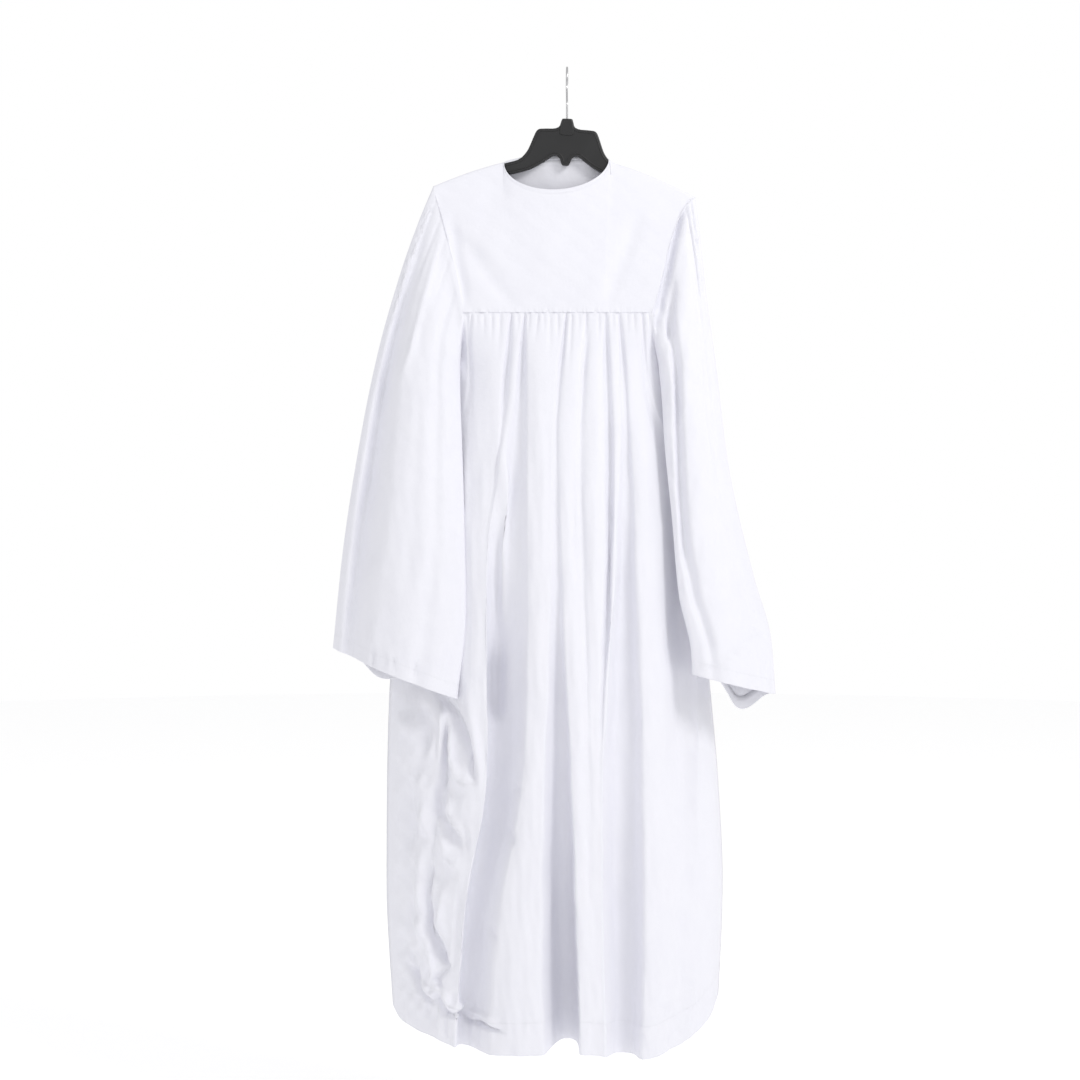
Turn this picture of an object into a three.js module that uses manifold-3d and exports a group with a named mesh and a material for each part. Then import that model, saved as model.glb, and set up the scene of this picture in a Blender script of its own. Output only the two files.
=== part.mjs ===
// A baptismal robe hung on a moulded plastic hanger.
// Millimetres. +Z is up, +X is to the right as seen from the front, and the front faces -Y.
// The origin is inside the top of the hook, where it rests on its rod.
// Left and right are as seen from the front.
import * as THREE from 'three';
import { mergeVertices } from 'three/addons/utils/BufferGeometryUtils.js';
import Module from 'manifold-3d';

const wasm = await Module();
wasm.setup();

// ---------------------------------------------------------------- driving sizes
const WALL = 1.4; // cloth, with its stiffness
const SEAM_GAP = 0.3; // between two sewn pieces
const ARMHOLE_GAP = 0.8; // between the middles of sleeve and yoke, whose walls meet edge to edge
const CREASE_GAP = 2.2; // between sleeve and skirt under the arm, where the two walls lie side by side

const HOOK = { wire: 3.2, insideRadius: 20, sides: 10, socketDepth: 12, socketGap: 0.3 };
const HANGER = {
  top: -80, // top of the hub's tab
  tilt: THREE.MathUtils.degToRad(2.4), // the right arm hangs lower
  shift: 0.5, // the arms' middle, to the right of the hook
  reach: 207, // from the middle to the end of an arm
  thick: 9,
  bevel: 2,
  faceThick: 12, // through the tab's raised faces
  faceBottom: -107,
  faceBevel: 1.2,
};

const REST_GAP = 2.3; // from the arm's top edge up to the middle of the cloth that hangs on it
const YOKE = {
  seam: -393, // height of the seam below the yoke
  tip: 209.5, // shoulder tip, along the hanger's arm
  neckLeft: -98.8, // neck corners, along the arm
  neckRight: 69.5,
  frontDrop: 50, // front neckline, below the line between the neck corners
  backRise: 12, // back neckline, above that line
  roll: 7.5, // how far the cloth rolls forward over the arm
  rollHeight: 1.6,
  hang: 21.5, // how much further forward the yoke hangs at its seam
  hangHeight: 240,
  neckStand: 7, // the front neckline stands off by this
  backStand: 11,
  backShare: 0.8, // the back lies this much of the front's depth behind the arms
};

// Armhole of each side, seen from the front: the yoke's corner, two guide points, and the underarm.
const ARMHOLE = {
  left: { corner: [-165, YOKE.seam], guideTop: [-198, -245], guideLow: [-176, -320], under: [-168, -440] },
  right: { corner: [134, YOKE.seam], guideTop: [165, -232], guideLow: [166, -290], under: [138, -440] },
};
const CORNER_AT = 0.8; // the yoke's corner, as a share of the way from shoulder tip to underarm

// ---------------------------------------------------------------- tables
// Heights down the skirt. A row of a table below may leave some of them out.
const HEIGHTS = { seam: -393, arm: -510, upper: -600, middle: -1000, low: -1300, hem: -1550 };
// Edges are the side seams, front and back are how far the middle stands out.
const SKIRT = {
  leftEdge: { seam: -166, arm: -169, upper: -210, middle: -286, low: -291, hem: -278 },
  rightEdge: { seam: 136, arm: 140, upper: 176, middle: 232, low: 252, hem: 242 },
  sideBack: { seam: 2, upper: 12, middle: 25, low: 30, hem: 30 },
  frontOut: { seam: 28, upper: 60, middle: 98, low: 112, hem: 116 },
  backOut: { seam: 22, upper: 34, middle: 42, low: 46, hem: 48 },
};
const RIDGE_CROWN = 4; // each panel between two folds stands this much forward
const FULLNESS = { left: 0.95, right: 0.5, back: 0.75 }; // small where the skirt stays full towards its side

// Height of the hem. at goes across, from -1 at the left side seam to 1 at the right.
const HEM_LINE = [
  { at: -1, z: -1505 },
  { at: -0.97, z: -1520 },
  { at: -0.86, z: -1529 },
  { at: -0.7, z: -1539 },
  { at: -0.48, z: -1550 },
  { at: -0.28, z: -1546 },
  { at: 0.1, z: -1543 },
  { at: 0.28, z: -1548 },
  { at: 0.36, z: -1555 },
  { at: 0.5, z: -1557 },
  { at: 0.72, z: -1546 },
  { at: 0.84, z: -1531 },
  { at: 0.94, z: -1508 },
  { at: 1, z: -1487 },
];

// Front folds from left to right. rim: the fold's right edge. width: to its left edge.
// deep: how far it goes in. lowest: where between the two edges it is deepest.
const FRONT_FOLDS = [
  {
    name: 'beside left sleeve', lowest: 0.5,
    rim: { seam: -154, arm: -148, upper: -150, middle: -152, low: -172, hem: -180 },
    width: { seam: 7, arm: 12, upper: 30, middle: 58, low: 38, hem: 30 },
    deep: { seam: 9, arm: 13, upper: 19, middle: 28, low: 14, hem: 8 },
  },
  {
    name: 'left short', lowest: 0.45,
    rim: { seam: -84, upper: -100, middle: -131, low: -162, hem: -172 },
    width: { seam: 9, upper: 14, middle: 12, low: 5, hem: 4 },
    deep: { seam: 9, upper: 15, middle: 8, low: 1, hem: 0 },
  },
  {
    name: 'left long', lowest: 0.38,
    rim: { seam: -64, upper: -64, middle: -60, low: -95, hem: -92 },
    width: { seam: 9, upper: 24, middle: 67, low: 62, hem: 76 },
    deep: { seam: 10, upper: 24, middle: 42, low: 44, hem: 42 },
  },
  {
    name: 'centre pleat', lowest: 0.6,
    rim: { seam: -1, arm: -11, upper: -14, middle: -3, low: 11, hem: 17 },
    width: { seam: 6, upper: 8, middle: 26, low: 44, hem: 50 },
    deep: { seam: 6, upper: 16, middle: 56, low: 76, hem: 84 },
  },
  {
    name: 'right short', lowest: 0.5,
    rim: { seam: 38, upper: 26, middle: 34, low: 40, hem: 44 },
    width: { seam: 9, upper: 12, middle: 8, low: 6, hem: 6 },
    deep: { seam: 8, upper: 9, middle: 2, low: 0, hem: 0 },
  },
  {
    name: 'right narrow', lowest: 0.5,
    rim: { seam: 66, upper: 70, middle: 58, low: 62, hem: 63 },
    width: { seam: 9, upper: 13, middle: 8, low: 6, hem: 5 },
    deep: { seam: 9, upper: 22, middle: 7, low: 0, hem: 0 },
  },
  {
    name: 'right pleat', lowest: 0.36,
    rim: { seam: 90, upper: 99, middle: 114, low: 121, hem: 115 },
    width: { seam: 9, upper: 16, middle: 51, low: 54, hem: 48 },
    deep: { seam: 9, upper: 22, middle: 42, low: 46, hem: 44 },
  },
  {
    name: 'beside right sleeve', lowest: 0.6,
    rim: { seam: 124, arm: 132, upper: 160, middle: 208, low: 206, hem: 192 },
    width: { seam: 7, arm: 12, upper: 24, middle: 52, low: 44, hem: 34 },
    deep: { seam: 8, arm: 10, upper: 13, middle: 26, low: 12, hem: 6 },
  },
];

// Back folds, from left to right as seen from the front, like the front's but shallower.
const BACK_FOLDS = [
  {
    name: 'back 1', lowest: 0.5,
    rim: { seam: -112, upper: -140, middle: -176, low: -186, hem: -184 },
    width: { seam: 8, upper: 18, middle: 36, low: 44, hem: 46 },
    deep: { seam: 7, upper: 14, middle: 20, low: 24, hem: 24 },
  },
  {
    name: 'back 2', lowest: 0.45,
    rim: { seam: -66, upper: -78, middle: -92, low: -98, hem: -102 },
    width: { seam: 8, upper: 16, middle: 34, low: 44, hem: 50 },
    deep: { seam: 7, upper: 15, middle: 24, low: 30, hem: 32 },
  },
  {
    name: 'back 3', lowest: 0.55,
    rim: { seam: -6, upper: -4, middle: 2, low: 8, hem: 10 },
    width: { seam: 8, upper: 18, middle: 38, low: 48, hem: 54 },
    deep: { seam: 7, upper: 16, middle: 26, low: 34, hem: 36 },
  },
  {
    name: 'back 4', lowest: 0.5,
    rim: { seam: 48, upper: 60, middle: 80, low: 92, hem: 96 },
    width: { seam: 8, upper: 16, middle: 32, low: 42, hem: 46 },
    deep: { seam: 7, upper: 14, middle: 22, low: 28, hem: 28 },
  },
  {
    name: 'back 5', lowest: 0.5,
    rim: { seam: 96, upper: 122, middle: 160, low: 174, hem: 172 },
    width: { seam: 8, upper: 16, middle: 30, low: 38, hem: 40 },
    deep: { seam: 7, upper: 12, middle: 18, low: 22, hem: 22 },
  },
];

// Sleeve sections from armhole to hem. outer and inner are the two long edges as seen from the front,
// outerY and innerY their depths, front and back how far the two layers stand out from the line between.
const SLEEVE_SECTIONS = {
  left: [
    { along: 0, outer: [-213, -190], inner: [-168, -440], outerY: 0, innerY: 0, front: 24, back: 16 },
    { along: 0.07, outer: [-233, -240], inner: [-173, -478], outerY: 0, innerY: -17, front: 29, back: 16 },
    { along: 0.18, outer: [-260, -323], inner: [-173, -526], outerY: 1, innerY: -27, front: 33, back: 16 },
    { along: 0.35, outer: [-292, -450], inner: [-167, -618], outerY: 3, innerY: -38, front: 38, back: 18 },
    { along: 0.55, outer: [-331, -600], inner: [-161, -728], outerY: 6, innerY: -48, front: 44, back: 20 },
    { along: 0.78, outer: [-360, -772], inner: [-158, -866], outerY: 10, innerY: -58, front: 50, back: 20 },
    { along: 1, outer: [-376, -926], inner: [-171, -1002], outerY: 12, innerY: -66, front: 54, back: 20 },
  ],
  right: [
    { along: 0, outer: [206, -207], inner: [138, -440], outerY: 0, innerY: 0, front: 24, back: 16 },
    { along: 0.07, outer: [214, -262], inner: [143, -476], outerY: 0, innerY: -17, front: 28, back: 16 },
    { along: 0.18, outer: [222, -345], inner: [143, -526], outerY: 1, innerY: -27, front: 32, back: 16 },
    { along: 0.35, outer: [240, -480], inner: [151, -606], outerY: 3, innerY: -38, front: 35, back: 18 },
    { along: 0.55, outer: [260, -635], inner: [163, -714], outerY: 6, innerY: -48, front: 38, back: 20 },
    { along: 0.78, outer: [301, -812], inner: [173, -836], outerY: 10, innerY: -58, front: 40, back: 22 },
    { along: 0.92, outer: [329, -915], inner: [192, -926], outerY: 9, innerY: -64, front: 40, back: 28 },
    { along: 1, outer: [335, -1000], inner: [194, -963], outerY: 4, innerY: -66, front: 40, back: 36 },
  ],
};
const BACK_NARROWS = 0.38; // towards the inner edge, the back stands out by this share of it
// How much lower the back layer hangs at the hem, and where across, 0 at the outer edge and 1 at the inner.
const BACK_DROP = { left: { deep: 16, at: 0.25 }, right: { deep: 40, at: 0.42 } };

// Sleeve folds on the front layer. from and to are the edges across the sleeve, 0 at the outer edge.
const SLEEVE_FOLDS = {
  left: [
    {
      name: 'outer hollow', lowest: 0.4,
      from: { cap: 0.04, upper: 0.05, middle: 0.05, hem: 0.05 },
      to: { cap: 0.14, upper: 0.3, middle: 0.42, hem: 0.3 },
      deep: { cap: 5, upper: 11, middle: 17, hem: 10 },
    },
    {
      name: 'inner hollow', lowest: 0.5,
      from: { cap: 0.5, upper: 0.6, middle: 0.66, hem: 0.6 },
      to: { cap: 0.66, upper: 0.78, middle: 0.82, hem: 0.78 },
      deep: { cap: 4, upper: 4, middle: 4, hem: 5 },
    },
  ],
  right: [
    {
      name: 'outer hollow', lowest: 0.5,
      from: { cap: 0.1, upper: 0.12, middle: 0.18, hem: 0.1 },
      to: { cap: 0.2, upper: 0.28, middle: 0.4, hem: 0.34 },
      deep: { cap: 6, upper: 5, middle: 4, hem: 7 },
    },
    {
      name: 'inner fold', lowest: 0.5,
      from: { cap: 0.5, upper: 0.54, middle: 0.7, hem: 0.66 },
      to: { cap: 0.66, upper: 0.72, middle: 0.9, hem: 0.8 },
      deep: { cap: 8, upper: 12, middle: 10, hem: 5 },
    },
  ],
};
const SLEEVE_LEVELS = { cap: 0.05, upper: 0.3, middle: 0.62, hem: 1 };

// Rows down each piece, as shares of its length.
const YOKE_ROWS = [0, 0.008, 0.025, 0.07, 0.15, 0.26, 0.39, 0.53, 0.68, 0.84, 1];
const SKIRT_ROWS = [0, 0.012, 0.04, 0.09, 0.16, 0.25, 0.36, 0.48, 0.61, 0.74, 0.87, 1];
const SLEEVE_ROWS = [0, 0.02, 0.05, 0.1, 0.18, 0.28, 0.41, 0.56, 0.72, 0.87, 1];

// ---------------------------------------------------------------- small helpers
const lerp = THREE.MathUtils.lerp;
const clamp = THREE.MathUtils.clamp;
const ease = (t) => THREE.MathUtils.smoothstep(t, 0, 1);

// A smooth curve through (place, value) pairs, evaluated at x.
function through(places, values, x) {
  const last = places.length - 1;
  let i = 0;
  while (i < last - 1 && x > places[i + 1]) i += 1;
  const slope = (k) => (values[k + 1] - values[k]) / (places[k + 1] - places[k]);
  const tangent = (k) => {
    if (k === 0) return slope(0);
    if (k === last) return slope(last - 1);
    const [a, b] = [slope(k - 1), slope(k)];
    return a * b <= 0 ? 0 : (2 * a * b) / (a + b);
  };
  const span = places[i + 1] - places[i];
  const t = clamp((x - places[i]) / span, 0, 1);
  const [t2, t3] = [t * t, t * t * t];
  const start = (2 * t3 - 3 * t2 + 1) * values[i] + (t3 - 2 * t2 + t) * span * tangent(i);
  return start + (3 * t2 - 2 * t3) * values[i + 1] + (t3 - t2) * span * tangent(i + 1);
}

// A table's row at a height of the skirt. Heights fall, so they are turned over.
const atHeight = (row, z) => through(Object.keys(row).map((k) => -HEIGHTS[k]), Object.values(row), -z);

// A table's row at a share of the sleeve's length.
const atLevel = (row, v) => through(Object.values(SLEEVE_LEVELS), Object.values(row), v);

const sectionAt = (sections, pick, v) => through(sections.map((s) => s.along), sections.map(pick), v);

// A trough across a fold: 0 at both edges and 1 at the lowest place, for s from 0 to 1.
const trough = (s) => (1 - Math.cos(2 * Math.PI * s)) / 2;
// The same with a wide floor and steep sides, for a skirt's fold.
const pleat = (s) => Math.pow(Math.sin(Math.PI * s), 0.7);

// Where share s of a fold lies between its two edges.
function acrossFold(left, right, lowest, s) {
  const bottom = lerp(left, right, lowest);
  return s < 0.5 ? lerp(left, bottom, 2 * s) : lerp(bottom, right, 2 * s - 1);
}

// ---------------------------------------------------------------- hanger's lines
// Top edge of an arm, at a distance from the hanger's middle, in the hanger's own frame.
const ARM = { bend: 80, bendHeight: -150.7, slope: 0.26, droop: 0.00088, rise: 0.036, depth: 20, taper: 8 };
function armTop(x) {
  const past = x - ARM.bend;
  const bow = past > 0 ? -ARM.droop * past * past : ARM.rise * past * past;
  return ARM.bendHeight - ARM.slope * past + bow;
}
const armBottom = (x) => armTop(x) - ARM.depth + ARM.taper * (x - ARM.bend) / (HANGER.reach - ARM.bend);

// Between the hanger's own frame and the robe's, in the X-Z plane.
function toWorld(x, z) {
  const [s, c] = [Math.sin(HANGER.tilt), Math.cos(HANGER.tilt)];
  const down = z - HANGER.top;
  return [HANGER.shift + x * c + down * s, HANGER.top - x * s + down * c];
}
function toHanger(worldX, worldZ) {
  const [s, c] = [Math.sin(HANGER.tilt), Math.cos(HANGER.tilt)];
  const [across, down] = [worldX - HANGER.shift, worldZ - HANGER.top];
  return [across * c - down * s, HANGER.top + across * s + down * c];
}

// Line that the cloth hangs from: on the arms, and straight across between the neck corners.
const neckZ = (x) => armTop(Math.abs(x)) + REST_GAP;
function ridge(x) {
  if (x < YOKE.neckLeft || x > YOKE.neckRight) return neckZ(x);
  const share = (x - YOKE.neckLeft) / (YOKE.neckRight - YOKE.neckLeft);
  return lerp(neckZ(YOKE.neckLeft), neckZ(YOKE.neckRight), share);
}

// ---------------------------------------------------------------- cloth solids
// A closed wall around a grid of points: rows of columns.
// Where isSeam says so, the wall is built square to the Y axis, so that it stays on its own side.
function clothWall(grid, isSeam) {
  const rows = grid.length;
  const cols = grid[0].length;
  const normals = grid.map((row) => row.map(() => new THREE.Vector3()));
  const edgeA = new THREE.Vector3();
  const edgeB = new THREE.Vector3();
  for (let r = 0; r < rows - 1; r += 1) {
    for (let c = 0; c < cols - 1; c += 1) {
      edgeA.subVectors(grid[r + 1][c + 1], grid[r][c]);
      edgeB.subVectors(grid[r + 1][c], grid[r][c + 1]);
      const face = new THREE.Vector3().crossVectors(edgeA, edgeB).normalize();
      for (const [i, j] of [[r, c], [r, c + 1], [r + 1, c], [r + 1, c + 1]]) normals[i][j].add(face);
    }
  }
  normals.forEach((row, r) => row.forEach((normal, c) => {
    if (isSeam(r, c)) normal.y = 0;
  }));
  const positions = [];
  for (const side of [0.5, -0.5]) {
    grid.forEach((row, r) => row.forEach((point, c) => {
      const out = normals[r][c].clone().normalize().multiplyScalar(side * WALL);
      positions.push(...point.clone().add(out).toArray());
    }));
  }
  const index = [];
  const outer = (r, c) => r * cols + c;
  const inner = (r, c) => rows * cols + outer(r, c);
  const quad = (a, b, c, d) => index.push(a, b, c, a, c, d);
  for (let r = 0; r < rows - 1; r += 1) {
    for (let c = 0; c < cols - 1; c += 1) {
      quad(outer(r, c), outer(r, c + 1), outer(r + 1, c + 1), outer(r + 1, c));
      quad(inner(r, c), inner(r + 1, c), inner(r + 1, c + 1), inner(r, c + 1));
    }
  }
  for (let c = 0; c < cols - 1; c += 1) {
    quad(outer(0, c), inner(0, c), inner(0, c + 1), outer(0, c + 1));
    quad(outer(rows - 1, c), outer(rows - 1, c + 1), inner(rows - 1, c + 1), inner(rows - 1, c));
  }
  for (let r = 0; r < rows - 1; r += 1) {
    quad(outer(r, 0), outer(r + 1, 0), inner(r + 1, 0), inner(r, 0));
    quad(outer(r, cols - 1), inner(r, cols - 1), inner(r + 1, cols - 1), outer(r + 1, cols - 1));
  }
  return closedGeometry(positions, index);
}

// An indexed geometry whose faces point out.
function closedGeometry(positions, index) {
  const corner = (k) => new THREE.Vector3().fromArray(positions, 3 * index[k]);
  let volume = 0;
  for (let k = 0; k < index.length; k += 3) volume += corner(k).dot(corner(k + 1).cross(corner(k + 2)));
  if (volume < 0) index.reverse();
  const geometry = new THREE.BufferGeometry();
  geometry.setAttribute('position', new THREE.Float32BufferAttribute(positions, 3));
  geometry.setIndex(index);
  geometry.computeVertexNormals();
  return geometry;
}

// ---------------------------------------------------------------- yoke
// Depth of the yoke at a place, away from the arms. toFront is 1 on the front and -1 on the back.
function yokeDepth(worldX, worldZ, toFront) {
  const [x, z] = toHanger(worldX, worldZ);
  const h = Math.max(ridge(x) - z, 0);
  const roll = YOKE.roll * (1 - Math.exp(-h / YOKE.rollHeight));
  const hang = YOKE.hang * Math.pow(h / YOKE.hangHeight, 0.9);
  return roll + hang * (toFront > 0 ? 1 : YOKE.backShare);
}

// A side's armhole from the shoulder tip, 0, to the underarm, 1.
function armholePoint(side, a, toFront) {
  const { corner, guideTop, guideLow, under } = ARMHOLE[side];
  const tip = toWorld(side === 'left' ? -YOKE.tip : YOKE.tip, ridge(YOKE.tip));
  if (a <= CORNER_AT) {
    const curve = new THREE.CubicBezierCurve(
      new THREE.Vector2(...tip), new THREE.Vector2(...guideTop),
      new THREE.Vector2(...guideLow), new THREE.Vector2(...corner),
    );
    const place = curve.getPoint(a / CORNER_AT);
    return new THREE.Vector3(place.x, -toFront * yokeDepth(place.x, place.y, toFront), place.y);
  }
  const down = (a - CORNER_AT) / (1 - CORNER_AT);
  const depth = yokeDepth(corner[0], corner[1], toFront) * Math.sqrt(1 - down * down);
  return new THREE.Vector3(lerp(corner[0], under[0], down), -toFront * depth, lerp(corner[1], under[1], down));
}

// The yoke's top edge, from shoulder tip to shoulder tip: places along the arms, with the neck between.
const SHOULDER_STEPS = [0, 0.3, 0.6, 0.85];
const NECK_ANGLES = [0, 4, 12, 26, 46, 68, 90, 112, 134, 154, 168, 176, 180];
function yokeTopEdge(toFront) {
  const { tip, neckLeft, neckRight } = YOKE;
  const middle = (neckLeft + neckRight) / 2;
  const half = (neckRight - neckLeft) / 2;
  const leftSide = SHOULDER_STEPS.map((s) => ({ x: lerp(-tip, neckLeft, s), turn: 0 }));
  const neck = NECK_ANGLES.map((deg) => {
    const angle = THREE.MathUtils.degToRad(deg);
    return { x: middle - half * Math.cos(angle), turn: Math.sin(angle) };
  });
  const rightSide = SHOULDER_STEPS.map((s) => ({ x: lerp(tip, neckRight, s), turn: 0 })).reverse();
  const lift = toFront > 0 ? -YOKE.frontDrop : YOKE.backRise;
  return [...leftSide, ...neck, ...rightSide].map(({ x, turn }) => ({
    place: toWorld(x, ridge(x) + lift * turn), turn,
  }));
}

function yokeGrid(toFront) {
  const top = yokeTopEdge(toFront);
  const last = top.length - 1;
  return YOKE_ROWS.map((v) => top.map(({ place, turn }, i) => {
    const left = armholePoint('left', v * CORNER_AT, toFront);
    const right = armholePoint('right', v * CORNER_AT, toFront);
    if (i === 0) return left.setX(left.x + SEAM_GAP / 2);
    if (i === last) return right.setX(right.x - SEAM_GAP / 2);
    const bottomX = lerp(ARMHOLE.left.corner[0], ARMHOLE.right.corner[0], i / last);
    const evenX = lerp(left.x, right.x, i / last);
    const x = lerp(lerp(place[0], evenX, ease(v)), bottomX, v * v);
    const z = lerp(place[1], YOKE.seam + SEAM_GAP / 2, v);
    const neckFade = turn * Math.exp(-4 * v);
    const stand = toFront > 0 ? YOKE.neckStand * neckFade : YOKE.backStand * Math.min(1, 4 * turn) * Math.exp(-12 * v);
    const hung = yokeDepth(x, z, toFront);
    const depth = Math.max(toFront > 0 ? hung + stand : Math.max(hung, stand), SEAM_GAP / 2);
    return new THREE.Vector3(x, -toFront * depth, z);
  }));
}

// ---------------------------------------------------------------- skirt
// Columns across a skirt panel: the side, then folds with a ridge panel before each, then the other side.
const SIDE_SHARES = [0, 0.12, 0.26, 0.42, 0.6, 0.8];
const ARMHOLE_SHARE = 0.42; // this much of the side panel's top edge runs along the armhole
const armholeShare = (s) => 1 - (1 - CORNER_AT) * (s / ARMHOLE_SHARE);
const FOLD_SHARES = { front: [0, 0.1, 0.28, 0.5, 0.72, 0.9], back: [0, 0.2, 0.5, 0.8] };
const RIDGE_SHARES = [0, 0.5];
function skirtColumns(folds) {
  const columns = SIDE_SHARES.map((s) => ({ kind: 'left', s }));
  const foldShares = folds === FRONT_FOLDS ? FOLD_SHARES.front : FOLD_SHARES.back;
  folds.forEach((fold, i) => {
    foldShares.forEach((s) => columns.push({ kind: 'fold', fold, s }));
    if (i < folds.length - 1) {
      RIDGE_SHARES.forEach((s) => columns.push({ kind: 'ridge', fold, next: folds[i + 1], s }));
    }
  });
  [...SIDE_SHARES, 1].reverse().forEach((s) => columns.push({ kind: 'right', s }));
  return columns;
}

const rimRight = (fold, z) => atHeight(fold.rim, z);
const rimLeft = (fold, z) => atHeight(fold.rim, z) - atHeight(fold.width, z);

// Depth of the skirt without its folds. toFront is 1 on the front and -1 on the back.
function skirtBase(x, z, toFront) {
  const left = atHeight(SKIRT.leftEdge, z);
  const right = atHeight(SKIRT.rightEdge, z);
  const side = atHeight(SKIRT.sideBack, z);
  const share = clamp((2 * x - left - right) / (right - left), -1, 1);
  const out = toFront > 0 ? -atHeight(SKIRT.frontOut, z) : atHeight(SKIRT.backOut, z);
  const frontFullness = share < 0 ? FULLNESS.left : FULLNESS.right;
  return lerp(side, out, Math.pow(1 - share * share, toFront > 0 ? frontFullness : FULLNESS.back));
}

// A column's place across and its share of the fold, at a height.
function skirtPlace(column, folds, z) {
  const { kind, fold, next, s } = column;
  if (kind === 'left') return { x: lerp(atHeight(SKIRT.leftEdge, z), rimLeft(folds[0], z), s), y: 0 };
  if (kind === 'right') return { x: lerp(atHeight(SKIRT.rightEdge, z), rimRight(folds.at(-1), z), s), y: 0 };
  if (kind === 'ridge') {
    return { x: lerp(rimRight(fold, z), rimLeft(next, z), s), y: -RIDGE_CROWN * Math.sin(Math.PI * s) };
  }
  const x = acrossFold(rimLeft(fold, z), rimRight(fold, z), fold.lowest, s);
  return { x, y: atHeight(fold.deep, z) * pleat(s) };
}

// The skirt's top edge: along the armhole from the underarm, then along the yoke's seam.
function skirtTop(column, folds, toFront) {
  const onSide = column.kind === 'left' || column.kind === 'right';
  if (onSide && column.s < ARMHOLE_SHARE) {
    return armholePoint(column.kind, armholeShare(column.s), toFront);
  }
  let x;
  if (onSide) {
    const rim = column.kind === 'left' ? rimLeft(folds[0], YOKE.seam) : rimRight(folds.at(-1), YOKE.seam);
    x = lerp(ARMHOLE[column.kind].corner[0], rim, (column.s - ARMHOLE_SHARE) / (1 - ARMHOLE_SHARE));
  } else {
    x = skirtPlace(column, folds, YOKE.seam).x;
  }
  return new THREE.Vector3(x, -toFront * yokeDepth(x, YOKE.seam, toFront), YOKE.seam - SEAM_GAP / 2);
}

function hemHeight(x) {
  const { leftEdge, rightEdge } = SKIRT;
  const at = (2 * x - leftEdge.hem - rightEdge.hem) / (rightEdge.hem - leftEdge.hem);
  return through(HEM_LINE.map((row) => row.at), HEM_LINE.map((row) => row.z), at);
}

const SETTLE = 0.09; // share of the length in which the gathers open out
function skirtGrid(folds, toFront) {
  const columns = skirtColumns(folds);
  return SKIRT_ROWS.map((v) => columns.map((column, i) => {
    const top = skirtTop(column, folds, toFront);
    const hemX = skirtPlace(column, folds, HEIGHTS.hem).x;
    const z = lerp(top.z, hemHeight(hemX), v);
    const { x, y } = skirtPlace(column, folds, z);
    const settled = ease(v / SETTLE);
    const atSide = i === 0 || i === columns.length - 1;
    const free = new THREE.Vector3(x, skirtBase(x, z, toFront) + toFront * y, z);
    const point = new THREE.Vector3(lerp(top.x, free.x, settled), lerp(top.y, free.y, settled), z);
    if (atSide) point.y -= toFront * SEAM_GAP / 2;
    return point;
  }));
}

// ---------------------------------------------------------------- sleeves
// Each sleeve is a front and a back, joined along its outer and inner edges.
// Places across one of them: the yoke's rows, then the skirt's side columns up from the underarm.
const CAP_SHARES = YOKE_ROWS.map((v) => v * CORNER_AT);
const UNDER_SHARES = SIDE_SHARES.filter((s) => s < ARMHOLE_SHARE).reverse().map(armholeShare);
const SLEEVE_SHARES = [...CAP_SHARES, ...UNDER_SHARES];

function sleeveFoldDepth(side, t, v) {
  let depth = 0;
  for (const fold of SLEEVE_FOLDS[side]) {
    const [from, to] = [atLevel(fold.from, v), atLevel(fold.to, v)];
    const bottom = lerp(from, to, fold.lowest);
    const s = t < bottom ? (t - from) / (bottom - from) / 2 : 0.5 + (t - bottom) / (to - bottom) / 2;
    depth += s > 0 && s < 1 ? atLevel(fold.deep, v) * trough(s) : 0;
  }
  return depth;
}

// A sleeve's point: t across from the outer edge, v down from the armhole.
function sleevePoint(side, t, v, toFront) {
  const pick = (choose) => sectionAt(SLEEVE_SECTIONS[side], choose, v);
  const armhole = armholePoint(side, t, toFront);
  const away = side === 'left' ? -1 : 1;
  const gap = lerp(ARMHOLE_GAP, CREASE_GAP, ease((t - 0.6) / 0.3));
  armhole.x += away * gap;
  const first = SLEEVE_SECTIONS[side][0];
  const flatX = lerp(first.outer[0], first.inner[0], t);
  const flatZ = lerp(first.outer[1], first.inner[1], t);
  const keepCurve = 1 - ease(v / 0.25);
  const x = lerp(pick((s) => s.outer[0]), pick((s) => s.inner[0]), t) + (armhole.x - flatX) * keepCurve;
  let z = lerp(pick((s) => s.outer[1]), pick((s) => s.inner[1]), t) + (armhole.z - flatZ) * keepCurve;
  const chord = lerp(pick((s) => s.outerY), pick((s) => s.innerY), t);
  const arch = Math.sin(Math.PI * t);
  const round = toFront > 0 ? Math.pow(arch, 0.75) : Math.sqrt(arch) * lerp(1, BACK_NARROWS, t);
  const out = toFront > 0 ? -pick((s) => s.front) : pick((s) => s.back);
  let y = chord + out * round + (toFront > 0 ? sleeveFoldDepth(side, t, v) : 0);
  y = lerp(armhole.y, y, ease(v / (toFront > 0 ? 0.16 : lerp(0.1, 0.16, t))));
  if (toFront < 0) {
    const { deep, at } = BACK_DROP[side];
    const s = t < at ? t / at / 2 : 0.5 + (t - at) / (1 - at) / 2;
    z -= deep * trough(s) * v * v;
  }
  return new THREE.Vector3(x, y, z);
}

const isSleeveSeam = (r, c) => c === 0 || c === SLEEVE_SHARES.length - 1;
const sleeveGrid = (side, toFront) => SLEEVE_ROWS.map((v, r) => SLEEVE_SHARES.map((t, c) => {
  if (!isSleeveSeam(r, c)) return sleevePoint(side, t, v, toFront);
  const point = sleevePoint(side, t, v, 1);
  point.y -= toFront * SEAM_GAP / 2;
  return point;
}));

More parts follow.
